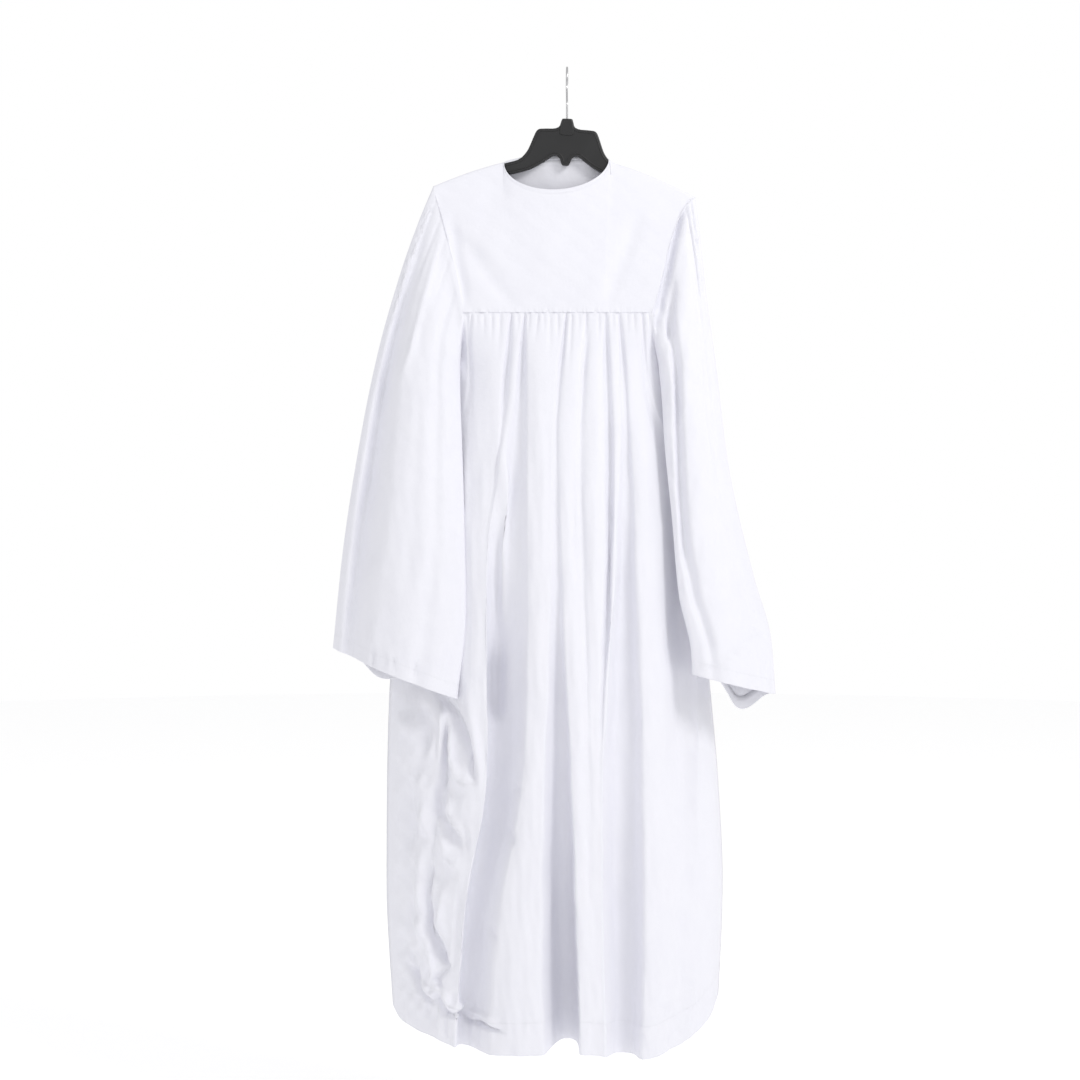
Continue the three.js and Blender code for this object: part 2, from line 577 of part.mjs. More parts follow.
// ---------------------------------------------------------------- hanger
// Right half of the hanger's outline, from the middle of the top to the middle of the bottom.
const HUB_TOP = [[7, -80], [8.8, -81.5], [12.8, -96.5], [42, -97.5], [47, -99.5], [50.5, -105]];
const HUB_BOTTOM = [[28, -145.5], [21, -140], [14, -139.6], [9.4, -143], [6.6, -152.5], [3.6, -155]];
const ARM_STEPS = [60, 65, 70, 76, 84, 100, 120, 140, 160, 180, 198];
function hangerOutline() {
  const topArm = ARM_STEPS.map((x) => [x, armTop(x)]);
  const end = HANGER.reach;
  const round = [[end - 3, armTop(end - 3)], [end, armTop(end) - 5], [end - 3, armBottom(end - 3)]];
  const bottomArm = ARM_STEPS.filter((x) => x > 80).reverse().map((x) => [x, armBottom(x)]);
  const underside = [[62, -165.5], [44, -157]];
  return [...HUB_TOP, ...topArm, ...round, ...bottomArm, ...underside, ...HUB_BOTTOM];
}

// A plate with bevelled edges from the right half of its outline, standing in the X-Z plane.
function bevelledPlate(outline, thick, bevel) {
  const right = outline.map(([x, z]) => new THREE.Vector2(x, z));
  const left = right.map((p) => new THREE.Vector2(-p.x, p.y)).reverse();
  const plate = new THREE.ExtrudeGeometry(new THREE.Shape([...right, ...left]), {
    depth: thick - 2 * bevel, bevelEnabled: true, bevelThickness: bevel,
    bevelSize: bevel, bevelOffset: -bevel, bevelSegments: 2,
  });
  plate.translate(0, -HANGER.top, -(thick - 2 * bevel) / 2);
  plate.rotateX(Math.PI / 2);
  plate.rotateY(HANGER.tilt);
  plate.translate(HANGER.shift, 0, HANGER.top);
  return toSolid(plate);
}

// A geometry as a solid that can be cut, and back.
function toSolid(geometry) {
  const bare = geometry.index ? geometry.clone() : geometry;
  bare.deleteAttribute('normal');
  bare.deleteAttribute('uv');
  const merged = mergeVertices(bare, 1e-4);
  return new wasm.Manifold(new wasm.Mesh({
    numProp: 3,
    vertProperties: new Float32Array(merged.attributes.position.array),
    triVerts: new Uint32Array(merged.index.array),
  }));
}
function toGeometry(solid) {
  const mesh = solid.getMesh();
  const geometry = new THREE.BufferGeometry();
  geometry.setAttribute('position', new THREE.Float32BufferAttribute(mesh.vertProperties, 3));
  geometry.setIndex([...mesh.triVerts]);
  geometry.computeVertexNormals();
  return geometry;
}

// The hanger's body, with the socket for the hook's stem. The body tilts and the socket stays upright.
function hangerBody() {
  const { thick, bevel, faceThick, faceBevel, faceBottom, top } = HANGER;
  const arms = bevelledPlate(hangerOutline(), thick, bevel);
  const face = [[5.8, top - 1.2], [8, top - 3], [12, faceBottom + 3], [9, faceBottom]];
  const tab = bevelledPlate(face, faceThick, faceBevel);
  const radius = HOOK.wire / 2 + HOOK.socketGap;
  const socket = new THREE.CylinderGeometry(radius, radius, 2 * HOOK.socketDepth, HOOK.sides);
  socket.rotateX(Math.PI / 2);
  socket.translate(0, 0, top);
  return toGeometry(arms.add(tab).subtract(toSolid(socket)));
}

// The hook's line, in the Y-Z plane: tip, over the rod, behind it, and down the stem.
function hangerHook() {
  const radius = HOOK.insideRadius + HOOK.wire / 2;
  const centre = -HOOK.insideRadius;
  const points = [];
  const [fromAngle, toAngle, steps] = [-25, 218, 20];
  for (let i = 0; i <= steps; i += 1) {
    const angle = THREE.MathUtils.degToRad(lerp(fromAngle, toAngle, i / steps));
    points.push(new THREE.Vector3(0, -radius * Math.cos(angle), centre + radius * Math.sin(angle)));
  }
  const stemTop = centre - 1.75 * radius;
  points.push(new THREE.Vector3(0, 0.35 * radius, centre - 1.12 * radius));
  points.push(new THREE.Vector3(0, 0, stemTop));
  points.push(new THREE.Vector3(0, 0, HANGER.top));
  points.push(new THREE.Vector3(0, 0, HANGER.top - HOOK.socketDepth + 1));
  const path = new THREE.CatmullRomCurve3(points, false, 'centripetal');
  const section = new THREE.Shape();
  section.absarc(0, 0, HOOK.wire / 2, 0, 2 * Math.PI);
  const wire = new THREE.ExtrudeGeometry(section, { extrudePath: path, steps: 56, curveSegments: HOOK.sides / 2 });
  wire.deleteAttribute('normal');
  wire.deleteAttribute('uv');
  return mergeVertices(wire, 1e-4);
}

// ---------------------------------------------------------------- the robe
const cloth = () => new THREE.MeshStandardMaterial({ color: 0xf4f4fa, roughness: 0.85, metalness: 0 });
const plastic = () => new THREE.MeshStandardMaterial({ color: 0x2b2b2d, roughness: 0.42, metalness: 0 });
const steel = () => new THREE.MeshStandardMaterial({ color: 0xb9bcc0, roughness: 0.25, metalness: 1 });

function piece(name, geometry, material) {
  const mesh = new THREE.Mesh(geometry, material);
  mesh.name = name;
  return mesh;
}

// The yokes meet along the shoulders, and the skirts down their sides.
const lastShoulder = SHOULDER_STEPS.length;
const firstShoulder = SHOULDER_STEPS.length + NECK_ANGLES.length - 1;
const onShoulder = (r, c) => r === 0 && (c <= lastShoulder || c >= firstShoulder);
const onSides = (folds) => {
  const last = skirtColumns(folds).length - 1;
  return (r, c) => c === 0 || c === last;
};

const robe = new THREE.Group();
robe.add(
  piece('hanger_hook', hangerHook(), steel()),
  piece('hanger_body', hangerBody(), plastic()),
  piece('front_yoke', clothWall(yokeGrid(1), onShoulder), cloth()),
  piece('back_yoke', clothWall(yokeGrid(-1), onShoulder), cloth()),
  piece('front_skirt', clothWall(skirtGrid(FRONT_FOLDS, 1), onSides(FRONT_FOLDS)), cloth()),
  piece('back_skirt', clothWall(skirtGrid(BACK_FOLDS, -1), onSides(BACK_FOLDS)), cloth()),
  piece('left_sleeve_front', clothWall(sleeveGrid('left', 1), isSleeveSeam), cloth()),
  piece('left_sleeve_back', clothWall(sleeveGrid('left', -1), isSleeveSeam), cloth()),
  piece('right_sleeve_front', clothWall(sleeveGrid('right', 1), isSleeveSeam), cloth()),
  piece('right_sleeve_back', clothWall(sleeveGrid('right', -1), isSleeveSeam), cloth()),
);

export default robe;
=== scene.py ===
"""Looks of a baptismal robe that hangs on a moulded plastic hanger, built round the packed CAD frame.

Sizes in the tables and functions are millimetres in the frame of the part: +Z is up, +X is to the right as
seen from the front, and the front faces -Y. Meshes, lights and the camera are in metres.
"""
import math
from collections import namedtuple
from types import SimpleNamespace as Sizes

import bpy
import numpy as np
from mathutils import Matrix, Vector


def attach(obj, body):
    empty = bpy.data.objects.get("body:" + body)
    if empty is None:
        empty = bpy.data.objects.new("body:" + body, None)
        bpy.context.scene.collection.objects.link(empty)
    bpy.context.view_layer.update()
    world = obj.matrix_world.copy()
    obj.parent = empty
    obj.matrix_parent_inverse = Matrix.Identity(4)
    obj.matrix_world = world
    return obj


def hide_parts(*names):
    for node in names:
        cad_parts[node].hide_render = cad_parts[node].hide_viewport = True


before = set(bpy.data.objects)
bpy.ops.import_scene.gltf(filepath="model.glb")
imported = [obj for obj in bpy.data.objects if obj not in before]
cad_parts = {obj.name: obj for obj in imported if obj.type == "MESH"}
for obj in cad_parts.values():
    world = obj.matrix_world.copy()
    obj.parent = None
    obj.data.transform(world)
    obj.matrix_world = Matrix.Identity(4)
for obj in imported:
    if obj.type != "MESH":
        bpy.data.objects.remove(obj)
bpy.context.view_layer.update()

MM = 0.001

# ---- sizes of the form, as in the part
HANGER = Sizes(top=-80, tilt=math.radians(2.4), shift=0.5, reach=207, thick=9, bevel=2,
               face_thick=12, face_bevel=1.2, face_bottom=-107)
HOOK = Sizes(wire=3.2, inside_radius=20, socket_depth=12, ends=(-25, 218), stem_top=1.75, pull=9)
ARM = Sizes(bend=80, bend_height=-150.7, slope=0.26, droop=0.00088, rise=0.036, depth=20, taper=8)
REST_GAP = 2.3
YOKE = Sizes(seam=-393, tip=209.5, neck_left=-98.8, neck_right=69.5, front_drop=50, back_rise=12, roll=7.5,
             roll_height=1.6, hang=21.5, hang_height=240, neck_stand=7, back_stand=11, back_share=0.8)
ARMHOLE = {
    "left": Sizes(guide_top=(-198, -245), guide_low=(-176, -320), corner=(-165, -393), under=(-168, -440)),
    "right": Sizes(guide_top=(165, -232), guide_low=(166, -290), corner=(134, -393), under=(138, -440)),
}
CORNER_AT = 0.8
OUTWARD = {"left": -1, "right": 1}

# Each row below has a value at each of these heights, from the yokes' seam to the hem.
HEIGHTS = (-393, -510, -600, -800, -1000, -1150, -1300, -1550)
SKIRT = Sizes(
    left_edge=(-171, -182, -210, -258, -286, -290, -291, -278),
    right_edge=(144, 159, 180, 210, 232, 245, 252, 242),
    side_back=(2, 8, 12, 19, 25, 28, 30, 30),
    front_out=(28, 47, 60, 82, 98, 106, 112, 116),
    back_out=(22, 30, 34, 39, 42, 44, 46, 48),
)
FULLNESS = Sizes(left=0.82, right=0.57, back=0.75)
# The hem's shares across, from -1 to 1, and its heights.
HEM_LINE = (
    (-1, -0.97, -0.86, -0.7, -0.48, -0.28, 0.1, 0.28, 0.36, 0.5, 0.72, 0.84, 0.94, 1),
    (-1505, -1520, -1529, -1539, -1550, -1546, -1543, -1548, -1555, -1557, -1546, -1531, -1508, -1487),
)

# Folds from left to right. rim is a fold's right edge, width runs to its left edge, deep is how far it goes
# in, tuck how far it runs in behind its rim, lowest where between its edges it is deepest, soft how gently
# its left side slopes, and under how far it runs in behind its left edge.
Fold = namedtuple("Fold", "rim width deep tuck lowest soft under", defaults=(0.5, 0.6, 0))
FRONT_FOLDS = [
    Fold((-154, -148, -150, -151, -152, -164, -177, -198), (7, 12, 30, 49, 58, 50, 38, 30),
         (4, 2, 2, 4, 7, 7, 6, 4), (0, 0.2, 0.4, 0.8, 1, 1, 0.6, 0)),
    Fold((-84, -93, -103, -130, -128, -131, -159, -180), (9, 10, 6, 4, 4, 4, 4, 4),
         (7, 7, 2, 0, 0, 0, 0, 0), (1, 1, 0, 0, 0, 0, 0, 0), lowest=0.45),
    Fold((-64, -64, -64, -64, -64, -75, -104, -126), (9, 17, 34, 61, 60, 52, 51, 50),
         (8, 10, 15, 27, 48, 48, 44, 34), (1, 1.6, 2, 3, 3, 3, 2, 0),
         lowest=(0.5, 0.6, 0.6, 0.4, 0.35, 0.35, 0.4, 0.4), soft=(0.6, 0.8, 1, 0.6, 0.2, 0.2, 0.3, 0.4),
         under=(0, 0, 0, 2, 9, 10, 9, 6)),
    Fold((-1, -11, -14, -10, -3, 4, 11, 17), (5, 7, 10, 16, 29, 41, 50, 52),
         (4, 3, 3, 8, 25, 38, 64, 92), (1, 0.5, 0, 1, 5, 7, 8, 10), lowest=0.6),
    Fold((38, 30, 26, 29, 34, 37, 40, 44), (9, 11, 12, 10, 8, 8, 8, 8),
         (8, 6, 5, 4, 2, 0.7, 0, 0), 0),
    Fold((66, 69, 72, 70, 57, 50, 50, 54), (9, 12, 13, 12, 8, 6, 6, 6),
         (7, 8, 12, 15, 4, 0, 0, 0), (1, 1.5, 2, 2, 1, 0, 0, 0)),
    Fold((90, 95, 99, 106, 112, 114, 116, 113), (9, 13, 16, 32, 52, 61, 62, 54),
         (6, 6, 9, 22, 34, 40, 46, 44), (1, 1.6, 2, 3, 4, 5, 5, 6), lowest=0.4),
    Fold((124, 132, 160, 191, 206, 206, 206, 194), (7, 12, 24, 43, 52, 51, 48, 40),
         (5, 3, 5, 12, 22, 14, 5, 3), (0, 0.2, 0.4, 0.8, 1, 0.8, 0.6, 0), lowest=0.4),
]
BACK_FOLDS = [
    Fold((-112, -129, -140, -161, -176, -183, -186, -184), (8, 14, 18, 28, 36, 41, 44, 46),
         (7, 11, 14, 17, 20, 23, 24, 24), (0, 0.4, 0.7, 1.4, 2, 2.3, 2.6, 3)),
    Fold((-66, -73, -78, -86, -92, -95, -98, -102), (8, 12, 16, 25, 34, 39, 44, 50),
         (7, 12, 15, 20, 24, 27, 30, 32), (0, 0.2, 0.3, 0.6, 1, 1.6, 2.5, 4), lowest=0.45),
    Fold((-6, -5, -4, -1.3, 2, 5, 8, 10), (8, 14, 18, 28, 38, 43, 48, 54),
         (7, 12, 16, 21, 26, 31, 34, 36), (0, 0.6, 1.1, 2.1, 3, 4, 4, 5), lowest=0.55),
    Fold((48, 55, 60, 70, 80, 87, 92, 96), (8, 13, 16, 24, 32, 38, 42, 46),
         (7, 11, 14, 18, 22, 26, 28, 28), (0, 0.4, 0.8, 1.6, 2, 2, 2, 2)),
    Fold((96, 111, 122, 143, 160, 169, 174, 172), (8, 13, 16, 23, 30, 35, 38, 40),
         (7, 10, 12, 15, 18, 21, 22, 22), (0, 0.2, 0.3, 0.7, 1, 1.3, 1.5, 2)),
]
CROWN = Sizes(least=3, share=0.03, most=0.12, full_at=8)  # how far a ridge between two folds bulges
ARMHOLE_SHARE = 0.42  # the part of a skirt's side that starts at the armhole
SETTLE = 0.09  # the share of the way down at which the folds hang in full
SIDES_EARLIER = 0.6

# Sections of a sleeve from armhole to hem, as columns: the two long edges in X and Z, and depths in Y.
SLEEVES = {
    "left": Sizes(
        along=(0, 0.07, 0.18, 0.35, 0.55, 0.78, 1),
        outer_x=(-213, -235, -266, -303, -334, -361, -377),
        outer_z=(-190, -240, -323, -450, -600, -772, -926),
        inner_x=(-168, -170, -169, -165, -161, -158, -171),
        inner_z=(-440, -478, -526, -618, -728, -866, -1002),
        outer_y=(0, 0, 1, 3, 6, 10, 12),
        inner_y=(0, -12, -19, -30, -44, -57, -66),
        front=(24, 29, 33, 38, 44, 50, 54),
        back=(16, 16, 16, 18, 20, 20, 20),
    ),
    "right": Sizes(
        along=(0, 0.07, 0.18, 0.35, 0.55, 0.78, 0.92, 1),
        outer_x=(206, 214, 222, 240, 260, 301, 329, 335),
        outer_z=(-207, -262, -345, -480, -635, -812, -915, -1000),
        inner_x=(138, 145, 149, 153, 163, 173, 192, 194),
        inner_z=(-440, -476, -526, -606, -714, -836, -926, -963),
        outer_y=(0, 0, 1, 3, 6, 10, 9, 4),
        inner_y=(0, -17, -27, -38, -48, -58, -64, -66),
        front=(24, 28, 32, 35, 38, 40, 40, 40),
        back=(16, 16, 16, 18, 20, 22, 28, 36),
    ),
}
BACK_NARROWS = 0.38
# How far a back layer sags at the hem, and the shares across where that starts, is full and ends.
BACK_DROP = {"left": (20, (0.2, 0.36, 0.64)), "right": (40, (0, 0.42, 0.68))}
# Folds of a sleeve's front: from and to shares across at these levels, where between them it is lowest,
# and how deep it is.
SLEEVE_LEVELS = (0.05, 0.3, 0.62, 1)
SLEEVE_FOLDS = {
    "left": [
        ((0.08, 0.065, 0.06, 0.07), (0.24, 0.3, 0.38, 0.33), 0.27, (8, 20, 28, 18)),
        ((0.5, 0.6, 0.66, 0.6), (0.66, 0.78, 0.82, 0.78), 0.5, (4, 4, 4, 5)),
    ],
    "right": [
        ((0.1, 0.12, 0.18, 0.1), (0.2, 0.28, 0.4, 0.34), 0.5, (6, 5, 4, 7)),
        ((0.52, 0.62, 0.74, 0.68), (0.72, 0.84, 0.94, 0.84), 0.5, (8, 16, 13, 5)),
    ],
}
ARMHOLE_GAP = 0.2
UNDERARM_GAP = 0.5
# Shares of the way down a sleeve at which it has left the armhole's curve, and its layers stand full.
LEAVES = Sizes(curve=0.25, front=0.16, back=0.1)

# ---- sizes of the looks
CLOTH = 0.7  # thickness of the shell
TURN = 0.85  # from the cloth to its turned-in edge
EDGE_ROW = 0.0008  # the last row of a piece is this share above its edge, so that the edge stays crisp
RELAX_TIMES = 3
# The skirt starts this far up behind the yoke's edge, and this far out behind the sleeves' edges.
SEAM_UNDER = Sizes(up=3, side=2.5, back=0.9)
HEM_TURN = 50
SLEEVE_HEM_TURN = 22
PAST_STITCH = 6  # a hem's turned edge reaches this far past its stitch line
NECK_STITCH = 6
NO_STITCH = 999
STITCH = Sizes(deep=0.3, wide=1.6)
NECK_ROLL = Sizes(deep=0.4, wide=2.6)
SHOULDER_CLOSES = 0.003  # the share of the way down over which front and back part at the shoulders

# The grids. A skirt has so many columns across a side, steps so long in a fold and on a ridge, and rows from
# and to shares of the way down, close at the gathers, the hem and the crumples.
FINE = Sizes(side=21, fold=3.5, ridge=1.7,
             rows=((0, 0.1, 28), (0.1, 0.5, 29), (0.5, 0.88, 52), (0.88, 0.955, 26), (0.955, 1, 18)))
PLAIN = Sizes(side=15, fold=4, ridge=3, rows=((0, 0.1, 22), (0.1, 0.955, 60), (0.955, 1, 13)))
SHOULDER_STEPS = (0, 0.3, 0.6, 0.85, 1)
NECK_ANGLES = (0, 4, 12, 26, 46, 68, 90, 112, 134, 154, 168, 176, 180)
SHOULDER_END = len(SHOULDER_STEPS) - 1
YOKE_END = 2 * SHOULDER_END + len(NECK_ANGLES) - 1
YOKE_COLUMNS, YOKE_ROWS = 170, 76
CROWDED = Sizes(yoke=1.5, sleeve=1.25, side=0.85)  # powers that crowd a grid's rows or columns at one end
SLEEVE_FRONT_STEPS, SLEEVE_BACK_STEPS, SLEEVE_ROWS = 74, 50, 112

# Gathers under the yokes' seams. Each has its place on the seam, how far down it reaches, how far to the
# right it leans in 100 mm, how deep it is and how wide.
FRONT_GATHERS = [
    (-160, 150, 2, 4, 4.5), (-151, 60, -9, 3.4, 1.8), (-143, 34, 2, 1.8, 1.8), (-132, 46, 0, 2.2, 2.2),
    (-119, 58, -2, 2.8, 2), (-106, 80, -5, 3, 2.8), (-88, 190, -10, 5.2, 2.4), (-78, 42, 0, 2, 1.8),
    (-67, 200, -7, 5.4, 2.6), (-59, 52, -10, 3, 1.8), (-45, 56, -14, 3.4, 1.9), (-37, 38, 2, 1.8, 1.8),
    (-27, 90, -2, 2.2, 2.4), (-15, 55, 0, 3, 2), (-1, 230, -10, 4.6, 2.2), (8, 120, -6, 3.4, 2),
    (19, 48, -4, 1.8, 1.8), (31, 150, -7, 4, 2.3), (50, 60, -1, 2.2, 2), (61, 210, 1, 4.6, 2.8),
    (72, 40, 2, 1.8, 1.8), (82, 170, 8, 4.2, 2.6), (95, 40, 3, 2, 1.8), (106, 50, 2, 3, 1.9),
    (119, 120, 6, 3.8, 2.4), (129, 44, 4, 1.8, 1.8),
]
BACK_GATHERS = [
    (-146, 50, -3, 2.2, 2.2), (-131, 74, -5, 2.6, 2.4), (-122, 40, -2, 2, 2), (-101, 90, -4, 2.6, 2.6),
    (-88, 44, 2, 2.2, 2), (-76, 60, 0, 2.4, 2.2), (-54, 100, -3, 3, 2.6), (-42, 38, 2, 2, 2),
    (-30, 76, 0, 2.4, 2.4), (-17, 46, -3, 2.2, 2), (5, 66, 3, 2.4, 2.2), (15, 110, 4, 2.8, 2.6),
    (29, 42, -2, 2.2, 2), (62, 84, 3, 2.6, 2.4), (73, 40, 0, 2, 2), (85, 58, 4, 2.4, 2.2),
    (108, 70, 5, 2.4, 2.4), (121, 46, 3, 2, 2),
]
GATHER_RISE = 4  # a gather reaches its depth this far below the seam
GATHER_WIDENS = 90  # and is twice as wide this far below it
SWELL = Sizes(out=2.6, rise=7, fade=70)  # the skirt stands out below its seam

# Unevenness of the cloth. Each is so deep, with wavelengths so long across and down.
RIPPLES = Sizes(skirt=((1.1, 60, 260), (0.5, 26, 60)), sleeve=((0.9, 60, 160), (0.4, 24, 40)),
                yoke=((0.5, 80, 70),), hem=((0.5, 26, 60),), seam=((0.8, 13, 40),),
                sleeve_edge=((1.1, 13, 16),), crumples=((2.4, 34, 60),))
LOOSE = Sizes(below=60, over=240)  # where the skirt's ripples start below its seam, and how long they grow
HEM_PUCKERS_WIDE, SEAM_PUCKERS_WIDE = 16, 5
CRUMPLED = Sizes(x=-225, wide=60, top=-1000, bottom=-1545)
SLEEVE_SIZE = (230, 800)  # across and down, for its creases
CAP_SWELL = Sizes(out=2.2, rise=0.02, fade=0.06)  # a sleeve stands out below its cap

# Creases pressed or hung into a piece. Each is so deep, or below 0 for a ridge, so wide, and along a line
# of places: X and how far down, in turn.
FRONT_CREASES = [
    (16, 7, -205, 985, -189, 1011, -174, 1030, -160, 1064, -152, 1098, -146, 1128),
    (-12, 7, -186, 1046, -181, 1100, -166, 1130, -140, 1139),
    (-6, 7, -156, 960, -150, 1030, -139, 1100, -134, 1150), (-8, 4.5, -199, 1020, -198, 1060, -200, 1100),
    (14, 5, -192, 1038, -190, 1090, -194, 1152), (11, 8, -196, 1126, -201, 1180, -183, 1204, -163, 1246),
    (5, 6, -168, 1186, -156, 1236), (-8, 6, -180, 1150, -186, 1186, -168, 1212),
    (-9, 9, -200, 1214, -190, 1240, -173, 1272), (6, 5, -206, 1196, -212, 1262),
    (13, 5, -213, 1262, -222, 1312, -217, 1346), (15, 6.5, -222, 1330, -217, 1362, -206, 1384, -193, 1420),
    (-8, 7, -228, 1240, -236, 1300, -231, 1340), (-7, 8, -234, 1352, -222, 1400),
    (-5, 8, -198, 1300, -202, 1350, -192, 1390), (5, 9, -166, 1290, -176, 1360, -182, 1420),
    (8, 9, -230, 1010, -222, 1050, -226, 1090), (-8, 14, -262, 1030, -246, 1060, -236, 1110),
    (7, 10, -246, 1140, -247, 1200, -258, 1260), (-6, 9, -226, 1120, -228, 1190, -222, 1220),
    (6, 8, -244, 1290, -250, 1360, -236, 1420), (9, 4.5, -206, 1398, -190, 1420, -204, 1444, -192, 1462),
    (-7, 5, -216, 1404, -212, 1430, -216, 1450), (8, 4.5, -250, 1404, -242, 1440, -228, 1464),
    (9, 4, -256, 1424, -234, 1466, -215, 1482, -198, 1473), (-7, 5, -238, 1448, -217, 1468, -200, 1460),
    (8, 4, -204, 1466, -191, 1494, -164, 1498), (-8, 5, -198, 1450, -184, 1480, -160, 1484),
    (9, 3.5, -170, 1490, -158, 1510, -126, 1508, -98, 1512), (-5, 5, -156, 1494, -130, 1495, -108, 1500),
    (-4, 3, -199, 1476, -199, 1534), (4, 3, -191, 1486, -190, 1534), (-4, 3, -149, 1498, -148, 1548),
    (4, 3, -141, 1500, -140, 1545), (4, 4, -82, 1136, -72, 1145), (4, 4, -97, 1204, -79, 1222),
    (4, 4, -122, 1356, -110, 1371), (9, 9, -104, 800, -108, 880, -110, 960),
    (20, 9.5, -109, 930, -112, 990, -111, 1036), (-13, 6, -102, 610, -100, 760, -103, 900),
    (14, 17, 180, 660, 184, 820, 182, 960), (-3.5, 12, 156, 1335, 166, 1470), (3, 8, 137, 1478, 160, 1488),
    (2, 5, 175, 1437, 188, 1452, 200, 1458), (2.5, 4, 116, 1516, 122, 1556),
    (2, 5, 169, 1523, 180, 1530, 188, 1540), (3, 6, 206, 1034, 206, 1084, 225, 1092),
    (2, 9, -120, 640, -118, 860), (2, 9, 10, 560, 14, 760, 22, 940), (-1.5, 8, 84, 520, 88, 720),
]
BACK_CREASES = [
    (3.5, 9, -214, 1250, -206, 1340, -220, 1420), (2, 10, -140, 700, -146, 960),
    (2.5, 11, -40, 640, -46, 980), (-2, 10, 40, 760, 44, 1080), (2.5, 12, 118, 900, 128, 1180),
    (3, 9, 206, 1180, 196, 1260, 206, 1340), (2.5, 8, -60, 1470, -30, 1484, 0, 1478),
]
FRONT_YOKE_CREASES = [
    (4.4, 15, -180, 262, -140, 312, -84, 384), (3.4, 13, 117, 232, 90, 306, 60, 384),
    (5, 9, -184, 236, -175, 306, -160, 384), (1.2, 16, -120, 170, -132, 240), (-1, 34, -40, 250, -30, 380),
]
BACK_YOKE_CREASES = [
    (2.6, 14, -180, 240, -120, 320, -80, 384), (2.6, 13, 130, 236, 96, 310, 66, 384),
    (1.2, 18, -16, 150, -14, 260),
]
# The same for a sleeve: on its front, 1, or its back, -1, so deep, so wide, and along shares across and
# down in turn.
SLEEVE_CREASES = {
    "left": [
        (1, 1.6, 4, 0.1, 0, 0.11, 0.12), (1, 2.4, 4, 0.22, 0, 0.2, 0.16), (1, 1.6, 4, 0.34, 0, 0.33, 0.1),
        (1, 1.4, 4, 0.45, 0, 0.45, 0.13), (1, 2, 7, 0.62, 0.02, 0.6, 0.2),
        (1, 2, 12, 0.5, 0.3, 0.56, 0.6, 0.52, 0.86), (1, -5, 9, 0.3, 0.02, 0.34, 0.14, 0.36, 0.3),
        (1, -4, 6, 0.36, 0.22, 0.33, 0.3, 0.3, 0.34), (1, 3, 2.5, 0.35, 0.995, 0.34, 0.955),
        (1, 3, 2.5, 0.44, 0.995, 0.45, 0.96), (1, 3, 2.5, 0.52, 0.995, 0.51, 0.96),
        (1, 3, 2.5, 0.68, 0.995, 0.67, 0.95), (-1, 2.4, 5, 0.2, 0, 0.22, 0.16),
        (-1, 2.4, 5, 0.36, 0, 0.37, 0.12), (-1, 2.2, 5, 0.52, 0, 0.5, 0.14),
        (-1, 3, 14, 0.3, 0.3, 0.36, 0.9), (-1, 2.6, 14, 0.7, 0.35, 0.62, 0.95),
    ],
    "right": [
        (1, 15, 18, 0.12, 0, 0.26, 0.008, 0.42, 0.016, 0.58, 0.024, 0.72, 0.03, 0.84, 0.03),
        (1, 7, 16, 0.5, 0.06, 0.62, 0.09, 0.72, 0.13), (1, 2.4, 3, 0.06, 0, 0.07, 0.09),
        (1, 3.4, 3.5, 0.12, 0, 0.12, 0.2), (1, 2.2, 6, 0.7, 0.02, 0.68, 0.16),
        (1, -2, 12, 0.34, 0.35, 0.3, 0.72), (1, 4, 7, 0.95, 0.985, 0.67, 0.955, 0.1, 0.89),
        (1, 2, 4, 0.1, 0.985, 0.12, 0.94), (-1, 2.4, 5, 0.18, 0, 0.2, 0.14),
        (-1, 2.4, 5, 0.34, 0, 0.34, 0.12), (-1, 2.2, 5, 0.54, 0, 0.52, 0.14),
        (-1, 3, 13, 0.32, 0.3, 0.4, 0.9), (-1, 2.6, 13, 0.66, 0.3, 0.6, 0.92),
    ],
}

# ---- stage, in metres
AMBIENT = 0.72
LIGHTS = {
    "key": Sizes(place=(2.2, -2.1, 1.9), size=1.1, power=60, colour=(1, 0.99, 0.97)),
    "fill": Sizes(place=(-2.6, -1.9, 1.4), size=0.8, power=9.5, colour=(0.97, 0.98, 1)),
}
LIT_PLACE = (0, 0, -0.75)
FLOOR = Sizes(height=-1.78, radius=9, glow=0.3)
CAMERA = Sizes(place=(-0.0432, -2.8, -0.7536), lens=58.333, sensor=36, sees_to=50)
BAND = 0.314159  # from band to band of a wave texture whose scale is 1
THREAD = 0.0006  # from thread to thread of the weave


# ---- small helpers
def lerp(a, b, t):
    return a + (b - a) * t


def ease(t):
    t = np.clip(t, 0, 1)
    return t * t * (3 - 2 * t)


def bell(distance, wide):
    """1 where distance is 0, falling off over wide on both sides."""
    return np.exp(-(distance / wide) ** 2)


def trough(s):
    return (1 - np.cos(2 * np.pi * s)) / 2


def bezier(points, t):
    weights = ((1 - t) ** 3, 3 * t * (1 - t) ** 2, 3 * t * t * (1 - t), t ** 3)
    return sum(weight * place for weight, place in zip(weights, points))


def through(places, values, x):
    """A smooth curve through (place, value) pairs that never overshoots, evaluated at x."""
    places, values, x = (np.asarray(numbers, float) for numbers in (places, values, x))
    slopes = np.diff(values) / np.diff(places)
    a, b = slopes[:-1], slopes[1:]
    same_way = a * b > 0
    inner = np.where(same_way, 2 * a * b / np.where(same_way, a + b, 1), 0)
    tangents = np.concatenate(([slopes[0]], inner, [slopes[-1]]))
    i = np.searchsorted(places[1:-1], x)
    span = places[i + 1] - places[i]
    t = np.clip((x - places[i]) / span, 0, 1)
    t2, t3 = t * t, t * t * t
    start = (2 * t3 - 3 * t2 + 1) * values[i] + (t3 - 2 * t2 + t) * span * tangents[i]
    return start + (3 * t2 - 2 * t3) * values[i + 1] + (t3 - t2) * span * tangents[i + 1]


